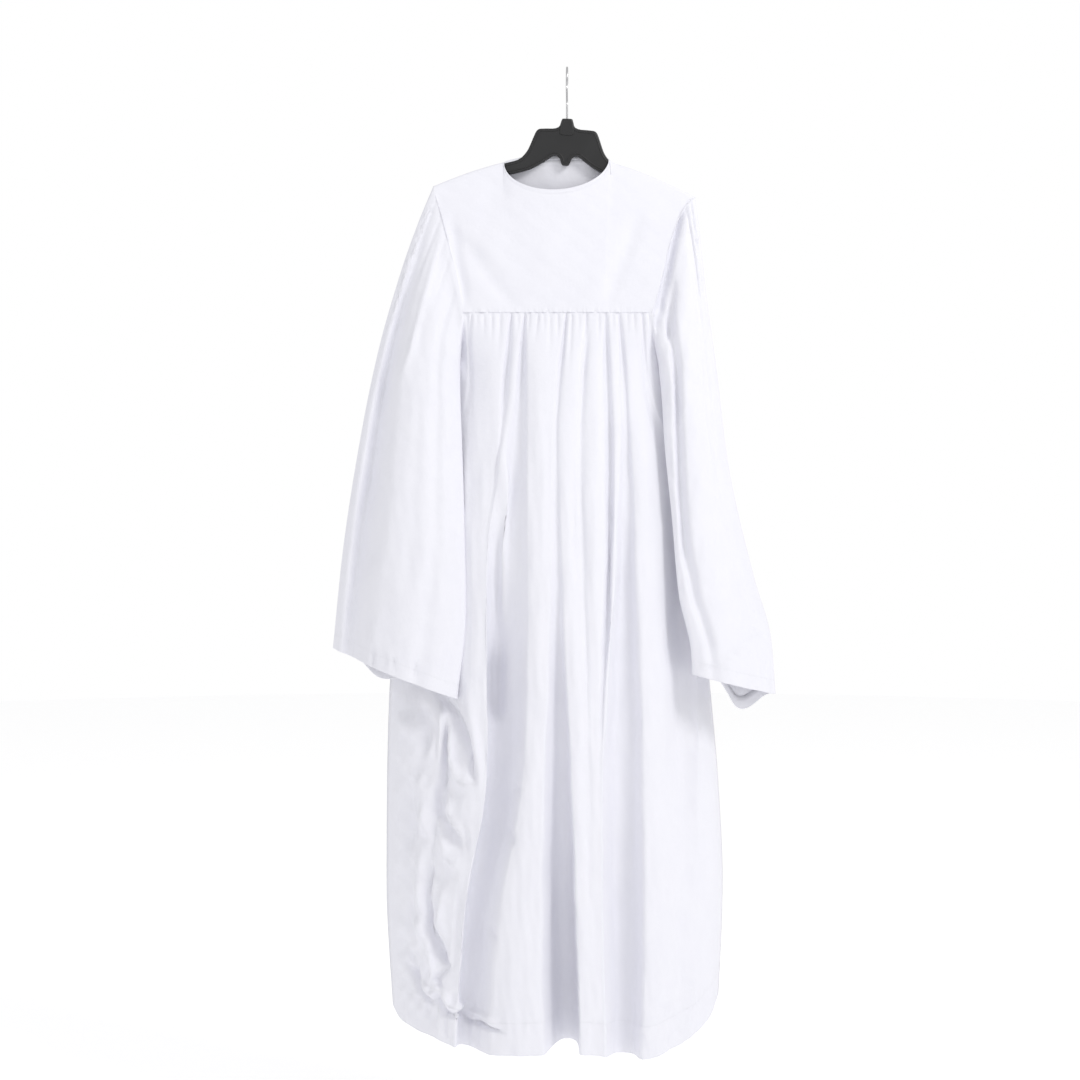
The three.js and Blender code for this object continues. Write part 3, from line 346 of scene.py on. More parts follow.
def at_height(row, z):
    """A row's value at heights z. A row of one number is the same all the way."""
    values = row if isinstance(row, tuple) else (row,) * len(HEIGHTS)
    return through(np.negative(HEIGHTS), values, np.negative(z))


def ripple(x, y, seed, long_x, long_y, waves=14):
    """Smooth unevenness between about -1 and 1, with wavelengths round long_x and long_y."""
    rng = np.random.default_rng(seed)
    total = np.zeros(np.broadcast(x, y).shape)
    for _ in range(waves):
        kx = rng.normal(0, 1) / long_x
        ky = rng.normal(0, 1) / long_y
        total += np.cos(2 * np.pi * (kx * x + ky * y) + rng.uniform(0, 2 * np.pi))
    return total / math.sqrt(waves)


def rippled(x, y, ripples, seed):
    return sum(deep * ripple(x, y, seed + i, *longs) for i, (deep, *longs) in enumerate(ripples))


def share_along(x, z, start, end):
    """How far along from start to end a place is, as a share."""
    dx, dz = end[0] - start[0], end[1] - start[1]
    return ((x - start[0]) * dx + (z - start[1]) * dz) / (dx * dx + dz * dz)


def near_line(x, z, line, wide):
    """1 on a line of places and falling off over wide on both sides, softer towards its two ends."""
    best = np.inf
    for start, end in zip(line[:-1], line[1:]):
        t = np.clip(share_along(x, z, start, end), 0, 1)
        best = np.minimum(best, np.hypot(x - lerp(start[0], end[0], t), z - lerp(start[1], end[1], t)))
    along = share_along(x, z, line[0], line[-1])
    ends = ease((along + 0.1) / 0.35) * ease((1.1 - along) / 0.35)
    return bell(best, wide) * ends


def creased(x, z, creases, scale=(1, 1)):
    """How deep creases go in at a place."""
    depth = 0
    for deep, wide, *line in creases:
        line = [(a * scale[0], b * scale[1]) for a, b in zip(line[::2], line[1::2])]
        depth += deep * near_line(x, z, line, wide)
    return depth


# ---- hanger's lines
def arm_top(x):
    past = np.asarray(x, float) - ARM.bend
    bow = np.where(past > 0, -ARM.droop * past * past, ARM.rise * past * past)
    return ARM.bend_height - ARM.slope * past + bow


def arm_bottom(x):
    return arm_top(x) - ARM.depth + ARM.taper * (x - ARM.bend) / (HANGER.reach - ARM.bend)


def to_world(x, z):
    s, c = math.sin(HANGER.tilt), math.cos(HANGER.tilt)
    down = z - HANGER.top
    return HANGER.shift + x * c + down * s, HANGER.top - x * s + down * c


def to_hanger(world_x, world_z):
    s, c = math.sin(HANGER.tilt), math.cos(HANGER.tilt)
    across, down = world_x - HANGER.shift, world_z - HANGER.top
    return across * c - down * s, HANGER.top + across * s + down * c


def neck_z(x):
    return arm_top(np.abs(x)) + REST_GAP


def ridge(x):
    left, right = YOKE.neck_left, YOKE.neck_right
    between = lerp(neck_z(left), neck_z(right), (x - left) / (right - left))
    return np.where((x < left) | (x > right), neck_z(x), between)


# ---- the robe's form
def yoke_depth(world_x, world_z, facing):
    x, z = to_hanger(world_x, world_z)
    h = np.maximum(ridge(x) - z, 0)
    roll = YOKE.roll * (1 - np.exp(-h / YOKE.roll_height))
    hang = YOKE.hang * (h / YOKE.hang_height) ** 0.9
    return roll + hang * (1 if facing > 0 else YOKE.back_share)


def armhole(side, a, facing):
    """X, Y and Z of a side's armhole at shares a from the shoulder tip, 0, to the underarm, 1."""
    hole = ARMHOLE[side]
    tip = to_world(OUTWARD[side] * YOKE.tip, ridge(YOKE.tip))
    t = np.clip(a / CORNER_AT, 0, 1)
    x, z = (bezier(line, t) for line in zip(tip, hole.guide_top, hole.guide_low, hole.corner))
    depth = yoke_depth(x, z, facing)
    down = np.clip((a - CORNER_AT) / (1 - CORNER_AT), 0, 1)
    x = np.where(a > CORNER_AT, lerp(hole.corner[0], hole.under[0], down), x)
    z = np.where(a > CORNER_AT, lerp(hole.corner[1], hole.under[1], down), z)
    return x, -facing * depth * np.sqrt(1 - down * down), z


def yoke_top(c, facing):
    """The yoke's top edge at columns c: its X and Z, and how far round the neck it is."""
    left, right = YOKE.neck_left, YOKE.neck_right
    angle = np.radians(np.interp(c - SHOULDER_END, range(len(NECK_ANGLES)), NECK_ANGLES))
    x = (left + right) / 2 - (right - left) / 2 * np.cos(angle)
    steps = range(SHOULDER_END + 1)
    for tip, neck, column in ((-YOKE.tip, left, c), (YOKE.tip, right, YOKE_END - c)):
        x = np.where(column < SHOULDER_END, lerp(tip, neck, np.interp(column, steps, SHOULDER_STEPS)), x)
    turn = np.sin(angle)
    lift = -YOKE.front_drop if facing > 0 else YOKE.back_rise
    return *to_world(x, ridge(x) + lift * turn), turn


def yoke_form(facing):
    """The yoke's grid, and how far round the neck each of its columns starts."""
    c = np.linspace(0, YOKE_END, YOKE_COLUMNS)
    v = np.append(np.linspace(0, 1, YOKE_ROWS)[:-1] ** CROWDED.yoke, [1 - 4 * EDGE_ROW, 1])[:, None]
    top_x, top_z, turn = yoke_top(c, facing)
    share = c / YOKE_END
    left, right = (armhole(side, v * CORNER_AT, facing) for side in OUTWARD)
    bottom_x = lerp(ARMHOLE["left"].corner[0], ARMHOLE["right"].corner[0], share)
    x = lerp(lerp(top_x, lerp(left[0], right[0], share), ease(v)), bottom_x, v * v)
    z = lerp(top_z, YOKE.seam, v)
    # Columns near the armholes follow the armhole itself.
    inside = ease(np.minimum(share, 1 - share) / 0.08)
    x = lerp(np.where(share < 0.5, left[0], right[0]), x, inside)
    z = lerp(np.where(share < 0.5, left[2], right[2]), z, inside)
    depth = yoke_depth(x, z, facing) * np.where(turn > 0.001, 1, np.minimum(1, v / SHOULDER_CLOSES))
    if facing > 0:
        depth += YOKE.neck_stand * turn * np.exp(-4 * v)
    else:
        depth = np.maximum(depth, YOKE.back_stand * np.minimum(1, 4 * turn) * np.exp(-12 * v))
    return np.stack([x, -facing * depth, z], axis=-1), turn


def skirt_base(x, z, facing):
    left, right = at_height(SKIRT.left_edge, z), at_height(SKIRT.right_edge, z)
    share = np.clip((2 * x - left - right) / (right - left), -1, 1)
    if facing > 0:
        out, power = -at_height(SKIRT.front_out, z), np.where(share < 0, FULLNESS.left, FULLNESS.right)
    else:
        out, power = at_height(SKIRT.back_out, z), FULLNESS.back
    return lerp(at_height(SKIRT.side_back, z), out, (1 - share * share) ** power)


def fold_profile(s, softness):
    """Depth across a fold: a soft slope down from the left, and a steep side at its rim."""
    steep = np.sin(np.pi * s) ** 0.7
    soft = np.sin(np.pi * s) ** 1.6
    return lerp(steep, soft, softness * (1 - ease(2 * s)))


def skirt_place(column, folds, z):
    """X of a column at heights z, and how far its fold goes in there."""
    def at(row):
        return at_height(row, z)

    kind, i, s = column
    fold = folds[i]
    right = at(fold.rim)
    left = right - at(fold.width)
    if kind == "left":
        return lerp(at(SKIRT.left_edge), left, s), 0 * z
    if kind == "right":
        return lerp(at(SKIRT.right_edge), right, s), 0 * z
    if kind == "ridge":
        following = folds[i + 1]
        end = at(following.rim) - at(following.width)
        deep = lerp(at(fold.deep), at(following.deep), s)
        span = np.abs(end - right)
        crown = np.minimum(CROWN.least + CROWN.share * span, CROWN.most * span)
        return lerp(right, end, s), -crown * np.minimum(1, deep / CROWN.full_at) * np.sin(np.pi * s)
    bottom = lerp(left, right, at(fold.lowest))
    x = lerp(left, bottom, 2 * s) if s < 0.5 else lerp(bottom, right, 2 * s - 1)
    behind = at(fold.tuck) * math.sin(math.pi * max(0, 2 * s - 1))
    behind -= at(fold.under) * math.sin(math.pi * max(0, 1 - 2 * s))
    return x + behind, at(fold.deep) * fold_profile(s, at(fold.soft))


def skirt_columns(folds, grain):
    """Columns across a skirt: a side, then folds with a ridge between each, then the other side."""
    side = np.linspace(0, 1, grain.side) ** CROWDED.side
    columns = [("left", 0, s) for s in side[:-1]]
    for i, fold in enumerate(folds):
        steps = int(np.clip(max(fold.width) / grain.fold, 8, 16))
        columns += [("fold", i, s) for s in np.arange(steps) / steps]
        if i < len(folds) - 1:
            spans = np.subtract(np.subtract(folds[i + 1].rim, folds[i + 1].width), fold.rim)
            steps = int(max(spans[0] / grain.ridge, max(spans) / 5, 6))
            columns += [("ridge", i, s) for s in np.arange(steps) / steps]
    return columns + [("right", -1, s) for s in side[::-1]]


def skirt_top(column, folds, facing):
    """Where a column starts: behind the yoke's edge or, beside it, behind the armhole's."""
    kind, i, s = column
    if kind in ARMHOLE and s < ARMHOLE_SHARE:
        x, y, z = armhole(kind, 1 - (1 - CORNER_AT) * (s / ARMHOLE_SHARE), facing)
        return x + OUTWARD[kind] * SEAM_UNDER.side, y + facing * SEAM_UNDER.back, z
    if kind in ARMHOLE:
        rim = folds[i].rim[0] - (folds[i].width[0] if kind == "left" else 0)
        x = lerp(ARMHOLE[kind].corner[0], rim, (s - ARMHOLE_SHARE) / (1 - ARMHOLE_SHARE))
    else:
        x = skirt_place(column, folds, YOKE.seam)[0]
    return x, -facing * (yoke_depth(x, YOKE.seam, facing) - SEAM_UNDER.back), YOKE.seam + SEAM_UNDER.up


def hem_height(x):
    left, right = SKIRT.left_edge[-1], SKIRT.right_edge[-1]
    return through(*HEM_LINE, (2 * x - left - right) / (right - left))


def skirt_form(folds, facing, grain):
    columns = skirt_columns(folds, grain)
    rows = [np.linspace(start, end, count + 1)[:-1] for start, end, count in grain.rows]
    v = np.concatenate(rows + [[1 - EDGE_ROW, 1]])
    grid = np.zeros((len(v), len(columns), 3))
    for j, column in enumerate(columns):
        top_x, top_y, top_z = skirt_top(column, folds, facing)
        hem_x = skirt_place(column, folds, HEIGHTS[-1])[0]
        z = lerp(top_z, hem_height(hem_x), v)
        x, y = skirt_place(column, folds, z)
        early = SIDES_EARLIER * (1 - column[2]) if column[0] in ARMHOLE else 0
        settled = ease(v / (SETTLE * (1 - early)))
        y = skirt_base(x, z, facing) + facing * y
        grid[:, j] = np.stack([lerp(top_x, x, settled), lerp(top_y, y, settled), z], axis=-1)
    return grid


def sleeve_fold_depth(side, t, v):
    depth = 0
    for start, end, lowest, deep in SLEEVE_FOLDS[side]:
        start, end, deep = (through(SLEEVE_LEVELS, row, v) for row in (start, end, deep))
        bottom = lerp(start, end, lowest)
        s = np.where(t < bottom, (t - start) / (bottom - start) / 2, 0.5 + (t - bottom) / (end - bottom) / 2)
        depth += np.where((s > 0) & (s < 1), deep * trough(s), 0)
    return depth


def sleeve_layer(side, t, v, facing):
    """A layer of a sleeve: t runs across from its outer edge, and v down from the armhole."""
    table = vars(SLEEVES[side])

    def pick(name):
        return through(table["along"], table[name], v)

    def between(axis, hole):
        """Places between the two long edges, drawn to the armhole's curve at the top."""
        outer, inner = "outer_" + axis, "inner_" + axis
        straight = lerp(table[outer][0], table[inner][0], t)
        return lerp(pick(outer), pick(inner), t) + (hole - straight) * (1 - ease(v / LEAVES.curve))

    hole_x, hole_y, hole_z = armhole(side, t, facing)
    hole_x = hole_x + OUTWARD[side] * lerp(ARMHOLE_GAP, UNDERARM_GAP, ease((t - 0.6) / 0.3))
    x, z = between("x", hole_x), between("z", hole_z)
    chord = lerp(pick("outer_y"), pick("inner_y"), t)
    arch = np.sin(np.pi * np.clip(t, 0, 1))
    if facing > 0:
        y = chord - pick("front") * arch ** 0.75 + sleeve_fold_depth(side, t, v)
        y = lerp(hole_y, y, ease(v / LEAVES.front))
    else:
        y = chord + pick("back") * np.sqrt(arch) * lerp(1, BACK_NARROWS, t)
        y = lerp(hole_y, y, ease(v / lerp(LEAVES.back, LEAVES.front, t)))
        deep, places = BACK_DROP[side]
        z = z - deep * trough(np.interp(t, places, (0, 0.5, 1))) * v * v
    return np.stack(np.broadcast_arrays(x, y, z), axis=-1)


def sleeve_form(side):
    """A sleeve as a ring of columns, front and then back, with each column's share across and its layer."""
    v = np.append(np.linspace(0, 1, SLEEVE_ROWS)[:-1] ** CROWDED.sleeve, [1 - EDGE_ROW, 1])[:, None]
    front_t, back_t = ((1 - np.cos(np.linspace(0, np.pi, steps))) / 2
                       for steps in (SLEEVE_FRONT_STEPS, SLEEVE_BACK_STEPS))
    front_t = lerp(np.linspace(0, 1, SLEEVE_FRONT_STEPS), front_t, 0.6)
    back_t = back_t[1:-1][::-1]
    grid = np.concatenate([sleeve_layer(side, front_t, v, 1), sleeve_layer(side, back_t, v, -1)], axis=1)
    layer = np.repeat([1, -1], [len(front_t), len(back_t)])
    return grid, np.concatenate([front_t, back_t]), layer, v


# ---- grids of cloth
def grid_normals(grid, ring, sign):
    """Unit normals that point out of the cloth's outer face."""
    if ring:
        across = np.roll(grid, -1, axis=1) - np.roll(grid, 1, axis=1)
    else:
        across = np.gradient(grid, axis=1)
    normals = sign * np.cross(np.gradient(grid, axis=0), across)
    length = np.linalg.norm(normals, axis=-1, keepdims=True)
    return normals / np.maximum(length, 1e-9)


def relax(grid, ring):
    """Rounds the folds: points below the top row move towards the middle of their neighbours across."""
    for _ in range(RELAX_TIMES):
        middle = (np.roll(grid, -1, axis=1) + np.roll(grid, 1, axis=1)) / 2
        if not ring:
            middle[:, [0, -1]] = grid[:, [0, -1]]
        grid[1:] = lerp(grid[1:], middle[1:], 0.5)
    return grid


def run(grid, axis):
    """Length of cloth up to each point: down from the top row for axis 0, across from the left for 1."""
    steps = np.linalg.norm(np.diff(grid, axis=axis), axis=-1)
    return np.insert(np.cumsum(steps, axis=axis), 0, 0, axis=axis)


def from_sides(grid):
    """How many columns each column is from the nearest side."""
    columns = np.arange(grid.shape[1])
    return np.minimum(columns, columns[::-1])


def with_copies(values, behind, before, after):
    """Rows with so many copies from behind them before the first and after the last, in reverse."""
    return np.concatenate([behind[:before][::-1], values, behind[len(behind) - after:][::-1]])


def turned(grid, normals, off, along, at_top=0, at_bottom=0, at_sides=0):
    """Adds turned-in edges: copies of the rows or columns near an edge, behind the cloth and in reverse."""
    results = []
    for values, behind in ((grid, grid - normals * TURN), (off, off), (along, along)):
        values = with_copies(values, behind, at_top, at_bottom)
        behind = with_copies(behind, behind, at_top, at_bottom)
        across = with_copies(values.swapaxes(0, 1), behind.swapaxes(0, 1), at_sides, at_sides)
        results.append(across.swapaxes(0, 1))
    return results


def linked(name, data, place=(0, 0, 0)):
    thing = bpy.data.objects.new(name, data)
    thing.location = place
    bpy.context.collection.objects.link(thing)
    return thing


def shell_faces(rows, cols, ring):
    """Faces of a closed shell, and how many of the first are smooth: its outer and inner ones."""
    places = np.arange(rows * cols).reshape(rows, cols)
    if ring:
        places = np.concatenate([places, places[:, :1]], axis=1)
    a, b, c, d = places[:-1, :-1], places[:-1, 1:], places[1:, 1:], places[1:, :-1]
    inside = rows * cols

    def edge(first, second):
        return np.stack([first, second, second + inside, first + inside], axis=-1)

    outer = np.stack([a, d, c, b], axis=-1).reshape(-1, 4)
    inner = np.stack([a, b, c, d], axis=-1).reshape(-1, 4) + inside
    faces = [outer, inner, edge(a[0], b[0]), edge(c[-1], d[-1])]
    if not ring:
        faces += [edge(d[:, 0], a[:, 0]), edge(b[:, -1], c[:, -1])]
    return np.concatenate(faces), 2 * len(outer)


def cloth_shell(name, grid, off, along, ring, sign):
    """A closed thin shell on a grid of points, with what its material reads from it."""
    half = grid_normals(grid, ring, sign) * CLOTH / 2
    points = np.concatenate([(grid + half).reshape(-1, 3), (grid - half).reshape(-1, 3)]) * MM
    faces, smooth = shell_faces(*grid.shape[:2], ring)
    mesh = bpy.data.meshes.new(name)
    faces = faces[:, ::sign]
    mesh.from_pydata(points, [], faces)
    mesh.polygons.foreach_set("use_smooth", np.arange(len(faces)) < smooth)
    add_values(mesh, "stitch_off", off)
    add_values(mesh, "stitch_along", along)
    add_weave_map(mesh, grid, faces)
    return linked(name, mesh)


def add_values(mesh, name, values):
    """A number at each point of both faces of a shell, in metres."""
    layer = mesh.attributes.new(name, "FLOAT", "POINT")
    layer.data.foreach_set("value", np.tile(values.ravel() * MM, 2).astype(np.float32))


def add_weave_map(mesh, grid, faces):
    """Lengths across and down the cloth in metres, for its weave."""
    across, down = np.meshgrid(run(grid, 1).mean(axis=0), run(grid, 0).mean(axis=1))
    places = np.tile(np.stack([across.ravel(), -down.ravel()], axis=-1) * MM, (2, 1))
    layer = mesh.uv_layers.new(name="weave")
    layer.data.foreach_set("uv", places[faces].astype(np.float32).ravel())


# ---- cloth pieces
def gathered(x, z, gathers):
    below = np.maximum(YOKE.seam - z, 0)
    depth = 0
    for at, reach, lean, deep, wide in gathers:
        deep = deep * ease(below / GATHER_RISE) * (1 - ease(below / reach))
        depth += deep * bell(x - at - lean * below / 100, wide * (1 + below / GATHER_WIDENS))
    return depth


def skirt_details(x, z, gathers, creases, seed):
    """How far the cloth of a skirt goes in at a place."""
    below = np.maximum(YOKE.seam - z, 0)
    swell = SWELL.out * ease(below / SWELL.rise) * np.exp(-below / SWELL.fade)
    loose = ease((below - LOOSE.below) / LOOSE.over) * rippled(x, z, RIPPLES.skirt, seed)
    return gathered(x, z, gathers) + creased(x, -z, creases) - swell + loose


def crumples(x, z, seed):
    """Crushed cloth at the skirt's lower left."""
    share = bell(x - CRUMPLED.x, CRUMPLED.wide) * ease((CRUMPLED.top - z) / 80)
    return share * ease((z - CRUMPLED.bottom) / 60) * rippled(x, z, RIPPLES.crumples, seed)


def hem(grid, turn, seed):
    """How far each point is from a hem's stitch line, the small dents along it, and the rows it turns up."""
    down = run(grid, 0)
    off = down[-1:] - turn - down
    dents = bell(off, HEM_PUCKERS_WIDE) * rippled(run(grid, 1), off, RIPPLES.hem, seed)
    return off, dents, int(np.sum(down[-1, 0] - down[:, 0] < turn + PAST_STITCH))


def sewn(name, grid, off, ring, sign, along=None, **edges):
    """A piece of cloth: sunk along its stitch lines, where off is 0, and with its edges turned in."""
    normals = grid_normals(grid, ring, sign)
    grid = grid - normals * (STITCH.deep * bell(off, STITCH.wide))[..., None]
    along = run(grid, 1) if along is None else along
    return cloth_shell(name, *turned(grid, normals, off, along, **edges), ring, sign)


def make_skirt(name, folds, gathers, creases, facing, grain, seed):
    grid = relax(skirt_form(folds, facing, grain), False)
    x, z = grid[..., 0], grid[..., 2]
    depth = skirt_details(x, z, gathers, creases, seed)
    if facing > 0:
        depth += crumples(x, z, seed + 5)
    off, dents, hem_rows = hem(grid, HEM_TURN, seed + 2)
    depth = (depth + dents) * ease(from_sides(grid) / 5)
    grid = grid - grid_normals(grid, False, facing) * depth[..., None]
    return sewn(name, grid, off, False, facing, at_top=3, at_bottom=hem_rows, at_sides=2)


def make_yoke(name, creases, facing, seed):
    grid, turn = yoke_form(facing)
    normals = grid_normals(grid, False, facing)
    x, z = grid[..., 0], grid[..., 2]
    down = run(grid, 0)
    share = ease(down / 20) * ease((down[-1:] - down) / 12) * ease(from_sides(grid) / 6)
    depth = share * (creased(x, -z, creases) + rippled(x, z, RIPPLES.yoke, seed))
    depth += bell(z - YOKE.seam, SEAM_PUCKERS_WIDE) * rippled(x, z, RIPPLES.seam, seed + 1)
    # The neck's edge is rolled over and stitched.
    depth -= NECK_ROLL.deep * ease(turn / 0.12) * bell(down, NECK_ROLL.wide)
    off = np.where(turn > 0.02, down - NECK_STITCH, NO_STITCH)
    grid = grid - normals * depth[..., None]
    return sewn(name, grid, off, False, facing, at_top=9, at_bottom=3, at_sides=2)


def sleeve_details(side, grid, t, layer, v, seed):
    """How far the cloth of a sleeve goes in, apart from its hem."""
    x, z = grid[..., 0], grid[..., 2]
    depth = ease(v / 0.2) * rippled(x, z, RIPPLES.sleeve, seed)
    width, length = SLEEVE_SIZE
    for on_layer, *crease in SLEEVE_CREASES[side]:
        depth += creased(t * width, v * length, [crease], SLEEVE_SIZE) * (layer == on_layer)
    along_ridge = bell(t - 0.06, 0.04) * ease(v / 0.04) * ease((0.4 - v) / 0.2)
    depth += along_ridge * rippled(z, t * width, RIPPLES.sleeve_edge, seed + 3)
    return depth - CAP_SWELL.out * ease(v / CAP_SWELL.rise) * np.exp(-v / CAP_SWELL.fade) * np.sin(np.pi * t)


def make_sleeve(name, side, seed):
    grid, t, layer, v = sleeve_form(side)
    grid = relax(grid, True)
    sign = -OUTWARD[side]
    off, dents, hem_rows = hem(grid, SLEEVE_HEM_TURN, seed + 2)
    edge = np.minimum(t, 1 - t)
    depth = sleeve_details(side, grid, t, layer, v, seed) + dents
    depth = depth * ease(edge / 0.05) * ease(v / 0.006) + 0.8 * bell(edge, 0.006) * ease(v / 0.05)
    around = run(grid, 1)
    grid = grid - grid_normals(grid, True, sign) * depth[..., None]
    return sewn(name, grid, off, True, sign, around, at_top=2, at_bottom=hem_rows)


# ---- hanger
HUB_TOP = [(7, -80), (8.8, -81.5), (12.8, -96.5), (42, -97.5), (47, -99.5), (50.5, -105)]
HUB_BOTTOM = [(62, -165.5), (44, -157), (28, -145.5), (21, -140), (14, -139.6), (9.4, -143), (6.6, -152.5),
              (3.6, -155)]
ARM_STEPS = [60, 65, 70, 76, 84, 100, 120, 140, 160, 180, 198]
TAB = [(5.8, -81.2), (8, -83), (12, HANGER.face_bottom + 3), (9, HANGER.face_bottom)]
RIB = [(1.6, -144), (1.6, -151)]
NOSE, NOSE_DROP = 3, 5
RIM_INSET = 4.2
BEAD = 0.9
STOOD_UP = Matrix(((1, 0, 0, 0), (0, 0, -1, 0), (0, 1, 0, 0), (0, 0, 0, 1)))  # Y becomes Z, and Z becomes -Y


def hanger_outline():
    end = HANGER.reach
    top_arm = [(x, arm_top(x)) for x in ARM_STEPS + [end - NOSE]]
    nose = (end, arm_top(end) - NOSE_DROP)
    bottom_arm = [(x, arm_bottom(x)) for x in [end - NOSE] + ARM_STEPS[::-1] if x > ARM.bend]
    return HUB_TOP + top_arm + [nose] + bottom_arm + HUB_BOTTOM


def rounded_halves(right):
    """A closed outline from its right half, with its corners cut and cut again."""
    points = np.array(right + [(-x, z) for x, z in reversed(right)], float)
    for _ in range(2):
        following = np.roll(points, -1, axis=0)
        cuts = [lerp(points, following, 0.22), lerp(points, following, 0.78)]
        points = np.stack(cuts, axis=1).reshape(-1, 2)
    return points


def inset(points, distance):
    """A closed outline that runs clockwise, moved inwards."""
    along = np.roll(points, -1, axis=0) - np.roll(points, 1, axis=0)
    along /= np.linalg.norm(along, axis=1, keepdims=True)
    side = np.stack([along[:, 1], -along[:, 0]], axis=1)
    return points + side * distance


def new_curve(name, places, radius, resolution, closed):
    """A curve through places in millimetres, with a round edge."""
    curve = bpy.data.curves.new(name, "CURVE")
    curve.dimensions = "3D"
    curve.bevel_depth = radius * MM
    curve.bevel_resolution = resolution
    spline = curve.splines.new("POLY")
    spline.points.add(len(places) - 1)
    for point, place in zip(spline.points, places):
        point.co = (*(np.array(place) * MM), 1)
    spline.use_cyclic_u = closed
    return curve


def plate(name, outline, thick, bevel):
    """A plate with rounded edges, standing in the hanger's plane, from an outline in the hanger's frame."""
    curve = new_curve(name, [(*to_world(x, z), 0) for x, z in outline], bevel, 4, True)
    curve.dimensions = "2D"
    curve.fill_mode = "BOTH"
    curve.extrude = (thick / 2 - bevel) * MM
    curve.offset = -bevel * MM
    flat = linked(name, curve)
    bpy.context.view_layer.update()
    mesh = bpy.data.meshes.new_from_object(flat)
    bpy.data.objects.remove(flat)
    mesh.transform(STOOD_UP)
    mesh.update()
    return linked(name, mesh)


def beads(name, outline, closed):
    """Round beads along a line on the front and the back of the hanger."""
    pieces = []
    for face, y in (("_front", -HANGER.thick / 2), ("_back", HANGER.thick / 2)):
        places = [(x, y, z) for x, z in (to_world(*point) for point in outline)]
        pieces.append(linked(name + face, new_curve(name + face, places, BEAD, 2, closed)))
    return pieces


def make_hanger():
    outline = rounded_halves(hanger_outline())
    body = plate("hanger_plate", outline, HANGER.thick, HANGER.bevel)
    tab = plate("hanger_tab", rounded_halves(TAB), HANGER.face_thick, HANGER.face_bevel)
    rims = beads("hanger_rim", inset(outline, RIM_INSET), True)
    return [body, tab] + rims + beads("hanger_rib", RIB, False)


def make_hook():
    """A round hook whose end bends back to a straight stem that goes down into the hub."""
    radius = HOOK.inside_radius + HOOK.wire / 2
    centre = -HOOK.inside_radius
    angles = np.radians(np.linspace(*HOOK.ends, 60))
    line = [np.array([0, -radius * math.cos(a), centre + radius * math.sin(a)]) for a in angles]
    start, heading = line[-1], line[-1] - line[-2]
    stem = np.array([0, 0, centre - HOOK.stem_top * radius])
    guides = (start + heading / np.linalg.norm(heading) * HOOK.pull, stem + [0, 0, HOOK.pull])
    line += [bezier((start, *guides, stem), t) for t in np.linspace(0, 1, 24)[1:]]
    line.append((0, 0, HANGER.top - HOOK.socket_depth + 1))
    curve = new_curve("hook_wire", line, HOOK.wire / 2, 6, False)
    curve.use_fill_caps = True
    return linked("hook_wire", curve)


# ---- materials
class Nodes:
    """Short calls for the nodes of a material or a world."""

    def __init__(self, owner, shader="Principled BSDF"):
        owner.use_nodes = True
        self.tree = owner.node_tree
        self.shader = self.tree.nodes[shader]

    def join(self, value, socket):
        if isinstance(value, bpy.types.NodeSocket):
            self.tree.links.new(value, socket)
        else:
            socket.default_value = value

    def plug(self, node, **inputs):
        """Sets or links inputs by name, with an underscore for each space, and settings in lower case."""
        for name, value in inputs.items():
            if name[0].islower():
                setattr(node, name, value)
            else:
                self.join(value, node.inputs[name.replace("_", " ")])
        return node

    def new(self, kind, **inputs):
        return self.plug(self.tree.nodes.new("ShaderNode" + kind), **inputs)

    def math(self, operation, *values):
        node = self.new("Math", operation=operation)
        for value, socket in zip(values, node.inputs):
            self.join(value, socket)
        return node.outputs[0]

    def noise(self, places, scale, detail=2, roughness=0.5):
        node = self.new("TexNoise", Vector=places, Scale=scale, Detail=detail, Roughness=roughness)
        return node.outputs["Fac"]

    def bump(self, height, distance, strength, **normal):
        node = self.new("Bump", Height=height, Distance=distance, Strength=strength, **normal)
        return node.outputs["Normal"]

    def shades(self, share, dark, light):
        node = self.new("ValToRGB", Fac=share)
        for element, colour in zip(node.color_ramp.elements, (dark, light)):
            element.color = (*colour, 1)
        return node.outputs["Color"]


def stitches(nodes):
    """1 on the threads of a stitch line, from the values in a shell's points."""
    off, along = (nodes.new("Attribute", attribute_name=name).outputs["Fac"]
                  for name in ("stitch_off", "stitch_along"))
    off = nodes.math("DIVIDE", nodes.math("ABSOLUTE", off), 0.0005)
    line = nodes.math("SUBTRACT", 1, nodes.math("MINIMUM", off, 1))
    dash = nodes.math("GREATER_THAN", nodes.math("PINGPONG", along, 0.0014), 0.0004)
    return nodes.math("MULTIPLY", line, dash)


